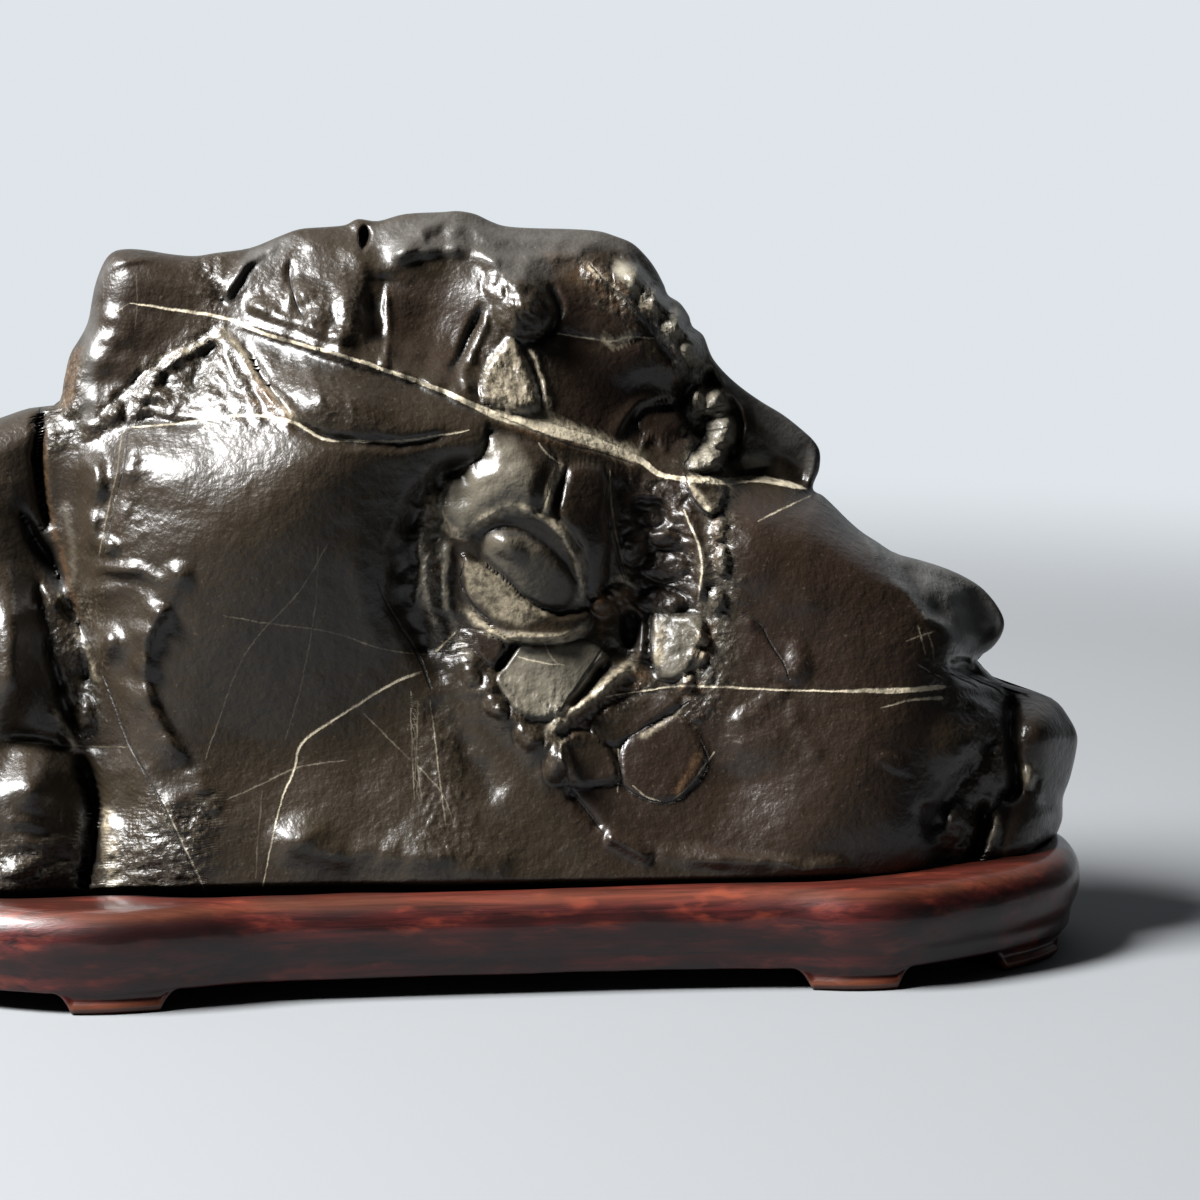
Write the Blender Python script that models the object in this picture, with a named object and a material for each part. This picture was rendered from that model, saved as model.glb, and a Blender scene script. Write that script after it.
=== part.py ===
"""Scholars rock resting in the recess of a one-piece carved hardwood stand.

The stone is laid out on a drawing sheet of 0.3 mm squares, seen from a point 1.5 m in front,
6 degrees to the left and 10 degrees above. Each station on the sheet gives a line of sight, and
the height tables say how far towards or away from the viewer the stone reaches along that line.
World frame: metres, +Z up, -Y towards the viewer, origin under the middle of the stand.
"""
import math

import bmesh
import bpy
import numpy as np

# ---- driving dimensions (metres) ----
SHEET_SQUARE = 0.0003
VIEW_DISTANCE = 1.5
VIEW_AZIMUTH = math.radians(-6.0)
VIEW_ELEVATION = math.radians(10.0)
VIEW_TARGET = (0.0400, 0.0, 0.1038)
STONE_SEGMENTS = 84
STONE_RINGS = 33
FRONT_RINGS = 20
FRONT_RIM = 40.0
BACK_RIM = 72.0
BACK_DEPTH = 0.066
SEAT_HEIGHT = 0.0140
STAND_GAP = 0.0004
STAND_HEIGHT = 0.0300
APRON_BOTTOM = 0.0060
FOOT_HALF_LENGTH = 0.0150
FOOT_HALF_DEPTH = 0.0100

SHEET_CENTRE = (520.0, 600.0)

# Outline of the stone on the sheet, clockwise, in squares.
OUTLINE = [
    (-100, 600), (-99, 545), (-92, 500), (-74, 462), (-44, 434), (0, 418), (30, 408), (58, 404),
    (64, 380), (70, 355), (80, 338), (88, 322), (92, 300), (96, 282), (104, 262), (113, 252),
    (126, 249), (145, 250), (170, 254), (195, 256), (215, 253), (250, 248), (280, 236), (300, 229),
    (325, 227), (345, 225), (358, 219), (378, 221), (405, 214), (442, 212), (458, 211), (475, 214),
    (490, 221), (505, 226), (530, 228), (570, 229), (598, 231), (615, 236), (632, 243), (645, 255),
    (655, 268), (664, 285), (668, 295), (680, 303), (689, 316), (692, 326), (703, 335), (709, 350),
    (714, 360), (726, 374), (742, 388), (762, 402), (782, 414), (800, 428), (814, 441), (820, 453),
    (819, 470), (814, 482), (813, 491), (822, 495), (834, 506), (848, 520), (862, 532), (876, 541),
    (895, 553), (920, 560), (945, 568), (965, 577), (982, 588), (996, 604), (1004, 620), (1002, 634),
    (992, 648), (977, 659), (984, 668), (993, 677), (1006, 683), (1017, 688), (1037, 692), (1056, 701),
    (1068, 716), (1077, 734), (1076, 752), (1070, 778), (1063, 798), (1062, 820), (1052, 842),
    (1034, 864), (1010, 876), (960, 883), (880, 887), (760, 890), (600, 893), (400, 896), (200, 899),
    (60, 902), (-12, 904), (-62, 892), (-90, 868), (-102, 830), (-97, 780), (-104, 730), (-99, 670),
]

# Spot heights of the front: sheet station, then millimetres towards the viewer.
SPOTS = [
    (-85, 560, 20), (-80, 700, 26), (-80, 830, 32), (-50, 480, 18), (-50, 560, 28), (-40, 650, 38),
    (-45, 740, 39), (-40, 820, 47), (0, 450, 18), (10, 500, 20), (0, 560, 30), (15, 620, 38),
    (15, 690, 44), (10, 750, 36), (30, 790, 50), (0, 830, 50), (10, 880, 54), (60, 850, 48),
    (60, 450, 16), (60, 500, 16), (60, 560, 18), (70, 620, 22), (85, 680, 28), (90, 740, 32),
    (95, 800, 36), (100, 870, 46),
    (90, 430, 18), (95, 480, 26), (95, 560, 33), (110, 640, 37), (120, 700, 40), (130, 780, 46),
    (150, 850, 54), (170, 880, 56), (100, 300, 9), (110, 350, 13), (150, 280, 11), (150, 330, 16),
    (150, 390, 22), (200, 290, 13), (210, 350, 22), (220, 400, 32), (140, 450, 33), (180, 480, 44),
    (230, 500, 51), (200, 560, 50), (170, 620, 49), (150, 700, 46), (170, 760, 49), (230, 640, 52),
    (240, 740, 49), (220, 820, 55), (300, 470, 50), (330, 530, 54), (300, 620, 53), (300, 720, 49),
    (290, 780, 51), (320, 850, 59), (260, 870, 58), (400, 490, 50), (380, 560, 50), (370, 640, 48),
    (380, 720, 47), (390, 790, 53), (420, 850, 61), (350, 880, 58), (300, 420, 45), (360, 400, 44),
    (420, 430, 46), (460, 430, 44),
    (260, 270, 10), (300, 260, 10), (300, 310, 20), (340, 300, 24), (360, 330, 27), (350, 260, 12),
    (260, 320, 18), (300, 370, 33), (380, 350, 29), (380, 240, 2), (420, 250, 8), (450, 235, 2),
    (500, 250, 6), (550, 260, 8), (600, 255, 4), (640, 262, -2), (420, 320, 22), (450, 350, 25),
    (520, 300, 26), (560, 330, 20), (600, 300, 16), (620, 360, 18), (640, 300, 14), (680, 350, 12),
    (590, 410, 24), (660, 420, 14), (700, 400, 12), (510, 380, 28),
    (730, 400, -4), (770, 430, -3), (800, 450, -6), (750, 470, 8), (800, 475, 4),
    (450, 470, 31), (500, 450, 31), (540, 480, 30), (450, 520, 31), (500, 530, 29), (540, 570, 27),
    (590, 550, 26), (600, 500, 23), (650, 500, 14), (660, 560, 14), (650, 600, 16), (690, 480, 16),
    (700, 540, 21), (710, 600, 25), (440, 600, 33), (450, 660, 39), (490, 660, 35), (540, 650, 33),
    (590, 660, 29), (560, 700, 38), (620, 640, 23), (660, 650, 24), (640, 690, 29), (700, 660, 31),
    (440, 740, 47), (480, 780, 50), (520, 720, 47), (560, 770, 50), (540, 830, 57), (600, 720, 38),
    (600, 770, 44), (640, 760, 43), (620, 830, 54), (650, 860, 58), (680, 720, 37), (690, 790, 46),
    (680, 850, 55),
    (760, 520, 24), (800, 540, 28), (760, 600, 33), (850, 580, 36), (820, 640, 40), (900, 620, 36),
    (880, 680, 44), (950, 640, 28), (940, 680, 34), (980, 620, 10), (760, 660, 38), (760, 720, 44),
    (800, 760, 50), (880, 760, 50), (950, 740, 40), (990, 720, 27), (980, 800, 33), (900, 830, 53),
    (800, 850, 59), (720, 840, 56), (740, 780, 49), (860, 875, 56), (970, 860, 38), (1010, 640, 0),
    (1040, 720, 18), (1055, 760, 16), (1030, 800, 27), (1010, 850, 34), (1045, 840, 22),
    (1000, 700, 12),
]

# Creases, ledges and ridges of the front: kind, stations, millimetres, half-width, reach.
FEATURES = [
    ("trough", [(44, 400), (38, 440), (36, 500), (46, 560), (66, 620), (84, 700), (88, 780),
                (90, 835)], -6, 32, 32),
    ("ledge", [(433, 700), (400, 626), (376, 582), (378, 545), (400, 506), (430, 472), (474, 453),
               (487, 418)], -11, 22, 46),
    ("trough", [(430, 680), (450, 730), (478, 785), (515, 825)], -6, 22, 22),
    ("ledge", [(486, 410), (450, 396), (400, 378), (345, 360), (300, 346), (228, 326)], 4, 18, 45),
    ("trough", [(247, 352), (281, 402), (310, 431), (400, 443), (462, 427)], -3, 16, 16),
    ("ledge", [(712, 356), (732, 400), (735, 450), (728, 478)], -9, 18, 80),
    ("crest", [(590, 272), (645, 290), (678, 330), (700, 365), (712, 410), (708, 460), (704, 500)],
     5, 17, 17),
    ("crest", [(172, 600), (150, 640), (147, 690), (180, 760), (202, 790)], 4, 24, 24),
    ("crest", [(440, 480), (424, 530), (430, 610), (452, 660), (500, 705), (540, 738), (570, 790)],
     5, 20, 20),
    ("trough", [(1014, 688), (1010, 740), (1014, 784), (990, 812), (982, 840)], -9, 20, 20),
    ("trough", [(1004, 705), (985, 745), (955, 782), (937, 818), (938, 846)], -7, 22, 22),
    ("ledge", [(540, 287), (490, 268), (445, 258), (398, 266), (372, 258)], 5, 16, 30),
]

# Swells of the back: sheet station, half-widths, tilt in degrees, millimetres away from the viewer.
BACK_SWELLS = [
    (150, 560, 150, 240, 10, 9), (420, 400, 210, 130, -8, 8), (640, 660, 190, 170, 20, 8),
    (900, 740, 130, 110, 0, 7), (0, 700, 90, 150, 0, 10), (330, 760, 150, 110, 0, 7),
]
BACK_TROUGHS = [
    [(60, 400), (76, 560), (62, 700), (90, 880)],
    [(300, 230), (330, 380), (290, 520), (360, 700), (340, 890)],
    [(600, 240), (560, 420), (640, 560), (780, 640), (1000, 690)],
]

# Widest line of the stand in plan, counter-clockwise from the front, in millimetres.
STAND_PLAN = [
    (-66, -72.5), (-35, -71), (5, -70.5), (50, -70.5), (85, -72.5), (106, -76.5), (122, -75),
    (140, -67), (157, -57), (171, -45), (180, -31), (184.5, -13), (183.5, 5), (176, 27), (161, 47),
    (138, 64), (112, 74), (85, 72), (50, 68), (0, 67), (-50, 68), (-85, 74), (-112, 81), (-138, 74),
    (-158, 58), (-173, 37), (-182, 14), (-184.5, -8), (-181, -30), (-170, -52), (-152, -68),
    (-130, -78), (-110, -81), (-90, -78),
]
# Section of the stand: height, then inset from the widest line, in millimetres.
STAND_SECTION = [(6.0, 3.6), (7.2, 2.8), (10.5, 2.5), (15.0, 0.8), (20.0, 0.0), (24.0, 0.6),
                 (27.0, 2.2), (29.2, 4.4), (30.0, 6.6)]
# Feet: middle of each foot in plan (millimetres) and the turn of its long side in degrees.
FEET = [(-108, -67.0, -2), (108, -62.5, 3), (162, -43.0, 48), (-163, -45.0, -48),
        (108, 62.0, -2), (-110, 66.5, 2)]
FOOT_SECTION = [(0.0, 0.95), (0.7, 1.0), (2.2, 1.02), (4.0, 0.96), (6.0, 0.90), (9.0, 0.88)]


def smooth_line(points, closed=False, per=4):
    """Catmull-Rom line through the stations."""
    p = np.array(points, float)
    n = len(p)
    out = []
    for i in range(n if closed else n - 1):
        b, c = p[i], p[(i + 1) % n]
        a = p[(i - 1) % n] if closed or i > 0 else 2 * b - c
        d = p[(i + 2) % n] if closed or i + 2 < n else 2 * c - b
        for k in range(per):
            t = k / per
            out.append(0.5 * (2 * b + (c - a) * t + (2 * a - 5 * b + 4 * c - d) * t * t
                              + (3 * b - a - 3 * c + d) * t ** 3))
    if not closed:
        out.append(p[-1])
    return np.array(out)


def along(u, v, line):
    """Distance from a line (positive on its right-hand side) and the share of its length passed."""
    piece = np.hypot(*(line[1:] - line[:-1]).T)
    run = np.concatenate([[0.0], np.cumsum(piece)])
    best = np.full(u.shape, 1e18)
    side = np.ones(u.shape)
    share = np.zeros(u.shape)
    for i, (p, q) in enumerate(zip(line[:-1], line[1:])):
        dx, dy = q - p
        t = np.clip(((u - p[0]) * dx + (v - p[1]) * dy) / (dx * dx + dy * dy), 0, 1)
        d2 = (u - p[0] - t * dx) ** 2 + (v - p[1] - t * dy) ** 2
        near = d2 < best
        best = np.where(near, d2, best)
        side = np.where(near, np.where(dx * (v - p[1]) >= dy * (u - p[0]), 1.0, -1.0), side)
        share = np.where(near, (run[i] + t * piece[i]) / run[-1], share)
    return np.sqrt(best) * side, share


def front_height(u, v):
    """Millimetres towards the viewer: a thin plate through the spot heights, then the features."""
    spots = np.array(SPOTS, float)
    at = spots[:, :2] / 100.0
    n = len(at)

    def bend(r2):
        return 0.5 * r2 * np.log(r2 + 1e-12)

    gram = np.zeros((n + 3, n + 3))
    gram[:n, :n] = bend(((at[:, None] - at[None]) ** 2).sum(-1)) + np.eye(n) * 0.02
    gram[:n, n] = gram[n, :n] = 1.0
    gram[:n, n + 1:] = at
    gram[n + 1:, :n] = at.T
    weight = np.linalg.solve(gram, np.concatenate([spots[:, 2], np.zeros(3)]))
    height = weight[n] + weight[n + 1] * u / 100 + weight[n + 2] * v / 100
    for (a, b), w in zip(at, weight):
        height = height + w * bend((u / 100 - a) ** 2 + (v / 100 - b) ** 2)
    for kind, stations, amount, width, reach in FEATURES:
        across, share = along(u, v, smooth_line(stations))
        ends = np.clip(np.minimum(share, 1 - share) / 0.12, 0, 1)
        if kind == "ledge":
            lift = np.clip((across / width + 1) / 2, 0, 1)
            shape = lift * lift * (3 - 2 * lift) * np.exp(-(np.clip(across, 0, None) / reach) ** 2)
        else:
            shape = np.exp(-(across / width) ** 2)
        height = height + amount * shape * ends
    return height


def back_height(u, v):
    """Millimetres away from the viewer: a plain swell with lobes and shallow troughs."""
    height = BACK_DEPTH * 1000 * (1 - np.clip(np.abs(u - 470) / 650, 0, 1) ** 4)
    height = height - 0.035 * np.clip(640 - v, 0, None)
    for cu, cv, ru, rv, tilt, amount in BACK_SWELLS:
        c, s = math.cos(math.radians(tilt)), math.sin(math.radians(tilt))
        x = ((u - cu) * c + (v - cv) * s) / ru
        y = (-(u - cu) * s + (v - cv) * c) / rv
        height = height + amount * (np.exp(-(x * x + y * y)) - 0.45)
    for stations in BACK_TROUGHS:
        across, _ = along(u, v, smooth_line(stations))
        height = height - 5.0 * np.exp(-(across / 20) ** 2)
    return height


def on_sight_line(u, v, depth):
    """World point where the line of sight through sheet station (u, v) meets Y = depth."""
    ca, sa = math.cos(VIEW_AZIMUTH), math.sin(VIEW_AZIMUTH)
    ce, se = math.cos(VIEW_ELEVATION), math.sin(VIEW_ELEVATION)
    back = np.array([sa * ce, -ca * ce, se])
    right = np.array([ca, sa, 0.0])
    up = np.cross(right, -back)
    eye = np.array(VIEW_TARGET) + back * VIEW_DISTANCE
    ray = (-back * VIEW_DISTANCE + right * ((u - 600) * SHEET_SQUARE)[:, None]
           - up * ((v - 600) * SHEET_SQUARE)[:, None])
    return eye + ray * ((depth - eye[1]) / ray[:, 1])[:, None]


def face_outward(bm):
    """Turn every face of a closed body to the outside."""
    bmesh.ops.recalc_face_normals(bm, faces=bm.faces)
    if bm.calc_volume(signed=True) < 0:
        bmesh.ops.reverse_faces(bm, faces=bm.faces)
    bm.normal_update()


def finish(name, bm, colour, roughness, collection):
    """Store the mesh as a named object with its own material."""
    mesh = bpy.data.meshes.new(name)
    bm.to_mesh(mesh)
    bm.free()
    material = bpy.data.materials.new(name)
    material.use_nodes = True
    shader = material.node_tree.nodes["Principled BSDF"]
    shader.inputs["Base Color"].default_value = (*colour, 1.0)
    shader.inputs["Roughness"].default_value = roughness
    mesh.materials.append(material)
    obj = bpy.data.objects.new(name, mesh)
    collection.objects.link(obj)
    return obj


def stone_mesh(grow=0.0):
    """A sphere with its poles on the viewing axis, spread over the outline and pulled to shape."""
    bm = bmesh.new()
    bmesh.ops.create_uvsphere(bm, u_segments=STONE_SEGMENTS, v_segments=STONE_RINGS, radius=1.0)
    bm.verts.ensure_lookup_table()
    ball = np.array([v.co for v in bm.verts])
    turn = np.arctan2(ball[:, 1], ball[:, 0])
    ring = np.arccos(np.clip(ball[:, 2], -1, 1)) / math.pi * STONE_RINGS
    front = ring <= FRONT_RINGS + 1e-6
    share = np.where(front, ring / FRONT_RINGS, (STONE_RINGS - ring) / (STONE_RINGS - FRONT_RINGS))
    reach = np.clip(share * (1 + (1 - share ** 6) / 6), 0, 1)

    edge = smooth_line(OUTLINE, closed=True, per=3)
    edge_turn = np.arctan2(SHEET_CENTRE[1] - edge[:, 1], edge[:, 0] - SHEET_CENTRE[0])
    edge_far = np.hypot(edge[:, 0] - SHEET_CENTRE[0], edge[:, 1] - SHEET_CENTRE[1])
    order = np.argsort(edge_turn)
    radius = np.interp(turn, edge_turn[order], edge_far[order], period=2 * math.pi)
    u = SHEET_CENTRE[0] + radius * reach * np.cos(turn)
    v = SHEET_CENTRE[1] - radius * reach * np.sin(turn)

    inset, _ = along(u, v, np.vstack([edge, edge[:1]]))
    inset = np.abs(inset)
    rim = np.where(front, FRONT_RIM, BACK_RIM)
    swell = np.sqrt(np.clip(1 - (1 - np.clip(inset / rim, 0, 1)) ** 2, 0, 1))
    swell = np.where(reach > 0.99999, 0.0, swell)
    depth = np.where(front, -front_height(u, v), back_height(u, v)) * swell / 1000
    world = on_sight_line(u, v, depth)
    low = SEAT_HEIGHT + 0.02 * (np.abs(depth) * swell) ** 1.0
    world[:, 2] = np.where(world[:, 2] < low, low + 0.04 * (world[:, 2] - low), world[:, 2])
    for vert, place in zip(bm.verts, world):
        vert.co = place
    bmesh.ops.triangulate(bm, faces=bm.faces)
    face_outward(bm)
    if grow:
        moved = [(v, v.co + v.normal * grow * min(v.calc_shell_factor(), 2.5)) for v in bm.verts]
        for vert, place in moved:
            vert.co = place
    return bm


def swept_block(plan, section, scale_mode):
    """Close a plan line up through the heights of a section and cap both ends."""
    bm = bmesh.new()
    n = len(plan)
    bmesh.ops.create_circle(bm, cap_ends=False, segments=n, radius=1.0)
    bm.verts.ensure_lookup_table()
    heading = np.roll(plan, -1, axis=0) - np.roll(plan, 1, axis=0)
    outward = np.stack([heading[:, 1], -heading[:, 0]], 1)
    outward /= np.linalg.norm(outward, axis=1)[:, None]
    middle = plan.mean(0)

    def level(height, amount):
        flat = (middle + (plan - middle) * amount) if scale_mode else plan - outward * amount
        return [(x / 1000, y / 1000, height / 1000) for x, y in flat]

    loop = list(bm.verts)
    for vert, place in zip(loop, level(*section[0])):
        vert.co = place
    bmesh.ops.contextual_create(bm, geom=loop)
    edges = [e for e in bm.edges]
    for height, amount in section[1:]:
        ring = bmesh.ops.extrude_edge_only(bm, edges=edges)["geom"]
        edges = [e for e in ring if isinstance(e, bmesh.types.BMEdge)]
        follow = {}
        for vert in (g for g in ring if isinstance(g, bmesh.types.BMVert)):
            near = min(range(n), key=lambda i: (vert.co - loop[i].co).length_squared)
            follow[near] = vert
        loop = [follow[i] for i in range(n)]
        for vert, place in zip(loop, level(height, amount)):
            vert.co = place
    bmesh.ops.contextual_create(bm, geom=loop)
    face_outward(bm)
    return bm


def boolean(target, tool, operation):
    """Apply one exact Boolean of a hidden tool body to the target."""
    step = target.modifiers.new(tool.name, "BOOLEAN")
    step.operation = operation
    step.solver = "EXACT"
    step.object = tool


def main():
    for obj in list(bpy.data.objects):
        bpy.data.objects.remove(obj, do_unlink=True)
    scene = bpy.context.scene
    parts = bpy.data.collections.new("scholars_rock")
    tools = bpy.data.collections.new("tools")
    scene.collection.children.link(parts)
    scene.collection.children.link(tools)

    finish("rock", stone_mesh(), (0.060, 0.054, 0.044), 0.30, parts)

    plan = smooth_line(STAND_PLAN, closed=True, per=2)
    stand = finish("stand", swept_block(plan, STAND_SECTION, False), (0.16, 0.035, 0.028), 0.35, parts)

    for index, (x, y, turn) in enumerate(FEET):
        c, s = math.cos(math.radians(turn)), math.sin(math.radians(turn))
        outline = []
        for k in range(24):
            a = 2 * math.pi * k / 24
            ex = math.copysign(abs(math.cos(a)) ** 0.62, math.cos(a)) * FOOT_HALF_LENGTH * 1000
            ey = math.copysign(abs(math.sin(a)) ** 0.62, math.sin(a)) * FOOT_HALF_DEPTH * 1000
            outline.append((x + ex * c - ey * s, y + ex * s + ey * c))
        foot = finish("foot_%d" % index, swept_block(np.array(outline), FOOT_SECTION, True),
                      (0.2, 0.2, 0.2), 0.5, tools)
        boolean(stand, foot, "UNION")
    seat = finish("seat", stone_mesh(STAND_GAP), (0.2, 0.2, 0.2), 0.5, tools)
    boolean(stand, seat, "DIFFERENCE")
    for obj in tools.objects:
        obj.hide_render = True
        obj.display_type = "WIRE"


main()
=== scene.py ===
"""A waxed limestone scholars rock in its carved hardwood stand, laid out as an add-on.

Places on the stone are given on a drawing sheet of 0.3 mm squares that is held square to a line of
sight 6 degrees to the left of the front and 10 degrees above it, 1.5 m away. Heights on it are
millimetres towards the viewer. World frame: metres, +Z up, -Y the front.
"""
import math

import bpy
import numpy as np
from bpy.props import FloatProperty, FloatVectorProperty, IntProperty, PointerProperty
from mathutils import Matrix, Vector


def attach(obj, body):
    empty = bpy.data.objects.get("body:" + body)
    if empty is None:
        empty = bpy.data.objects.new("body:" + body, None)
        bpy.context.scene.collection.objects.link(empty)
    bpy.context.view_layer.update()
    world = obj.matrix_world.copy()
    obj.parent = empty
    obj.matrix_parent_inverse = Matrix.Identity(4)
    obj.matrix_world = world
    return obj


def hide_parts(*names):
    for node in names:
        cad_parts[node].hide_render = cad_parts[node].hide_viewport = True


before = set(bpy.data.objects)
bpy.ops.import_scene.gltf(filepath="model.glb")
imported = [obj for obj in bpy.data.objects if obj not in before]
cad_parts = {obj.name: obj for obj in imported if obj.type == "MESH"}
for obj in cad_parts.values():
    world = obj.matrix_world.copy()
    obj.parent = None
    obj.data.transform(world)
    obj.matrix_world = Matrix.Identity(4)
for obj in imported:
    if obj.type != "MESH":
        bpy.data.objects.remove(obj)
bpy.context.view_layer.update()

bl_info = {
    "name": "Scholars Rock",
    "version": (1, 0, 0),
    "blender": (4, 5, 0),
    "location": "View3D > Sidebar > Rock",
    "description": "Makes a waxed limestone scholars rock, its carved hardwood stand and a stage",
    "category": "Object",
}

# ---- drawing sheet and line of sight ----
SQUARE = 0.0003
VIEW_DISTANCE = 1.5
VIEW_AZIMUTH = math.radians(-6.0)
VIEW_ELEVATION = math.radians(10.0)
VIEW_TARGET = (0.0400, 0.0, 0.1038)
SHEET_MIDDLE = 600.0
STONE_MIDDLE = (520.0, 600.0)

FRONT_RIM = 36.0
FOOT_RIM = 15.0
FOOT_LINE = 760
FOOT_LINE_RUN = 90
RELIEF_RUN = 14
# least height near the rim: so much on the rim, 1 mm less for each few squares inwards, blended softly
RIM_LEAST = 5
RIM_RUN = 6
RIM_BLEND = 3
BACK_RIM = 72.0
BACK_DEPTH = 66.0
BACK_MIDDLE = 470
BACK_HALF = 650
BACK_LEAN = 0.035
BACK_LEAN_FROM = 640
BACK_RELIEF_RUN = 30
SWELL_MEAN = 0.45
SEAT_HEIGHT = 0.0140
SEAT_RISE = 0.02
SEAT_SAG = 0.04
MM = 0.001
# grey is partly painted sheen; the hollow mask and the darkest mask are painted shade
MASKS = ("brown", "grey", "pale", "amber", "cream", "rough", "hollow", "painted_shade")

# ---- how the tables shape the surface ----
LATTICE = 64
RIPPLE_GAIN = 1.5
LAYER_TURN = 1.1
FOLD_MEAN = 0.6
PLATE_SCALE = 100.0
PLATE_EASE = 0.02
CAP_POWER = {"lump": 0.75, "oval": 0.5}
MOAT_SHARE = 0.25
MOAT_PLACE = 1.04
MOAT_WIDTH = 0.14
PLATE_CREASE = 0.3
PLATE_GAP = 3
LINE_REACH = 2.3
LINE_END = 0.16
LINE_EVEN = 0.85
LINE_UNEVEN = 0.45
LINE_WAVE = 23
LINE_SEED = 61
BOX_MARGIN = 6
EDGE_SWAY = 9
EDGE_WAVE = 13
RUGGED_SEED = 40

# ---- veins and cracks: the first sets are pale, the others dark, darkened with painted shade ----
LINE_SETS = 6
PALE_SETS = 4
FAR_OFF = 30.0
NO_LINE = -3.0
VEIN_BOX = 16
VEIN_SHOULDER = 7

# ---- stage ----
LAMP_TOWARDS = (-0.687, -0.195, 0.700)
FILL_TOWARDS = (-0.10, 0.87, 0.48)
FLOOR_SIDES = 96
FLOOR_LEVEL = -0.0001

# Outline of the stone on the sheet, clockwise.
OUTLINE = [
    (-100, 600), (-99, 545), (-92, 500), (-74, 462), (-44, 434), (0, 418), (30, 408), (58, 404),
    (64, 380), (70, 355), (80, 338), (88, 322), (92, 300), (96, 282), (104, 262), (113, 252),
    (126, 249), (145, 250), (170, 254), (195, 256), (215, 253), (250, 248), (280, 236), (300, 229),
    (325, 227), (345, 225), (358, 219), (378, 221), (405, 214), (442, 212), (458, 211), (475, 214),
    (490, 221), (505, 226), (530, 228), (570, 229), (598, 231), (615, 236), (632, 243), (645, 255),
    (655, 268), (664, 285), (668, 295), (680, 303), (689, 316), (692, 326), (703, 335), (709, 350),
    (714, 360), (726, 374), (742, 388), (762, 402), (782, 414), (800, 428), (814, 441), (820, 453),
    (819, 470), (814, 482), (813, 491), (822, 495), (834, 506), (848, 520), (862, 532), (876, 541),
    (895, 553), (920, 560), (945, 568), (965, 577), (982, 588), (996, 604), (1004, 620), (1002, 634),
    (992, 648), (977, 659), (984, 668), (993, 677), (1006, 683), (1017, 688), (1037, 692), (1056, 701),
    (1068, 716), (1077, 734), (1076, 752), (1070, 778), (1063, 798), (1062, 820), (1052, 842),
    (1034, 864), (1010, 876), (960, 883), (880, 887), (760, 890), (600, 893), (400, 896), (200, 899),
    (60, 902), (-12, 904), (-62, 892), (-90, 868), (-102, 830), (-97, 780), (-104, 730), (-99, 670),
]

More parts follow.
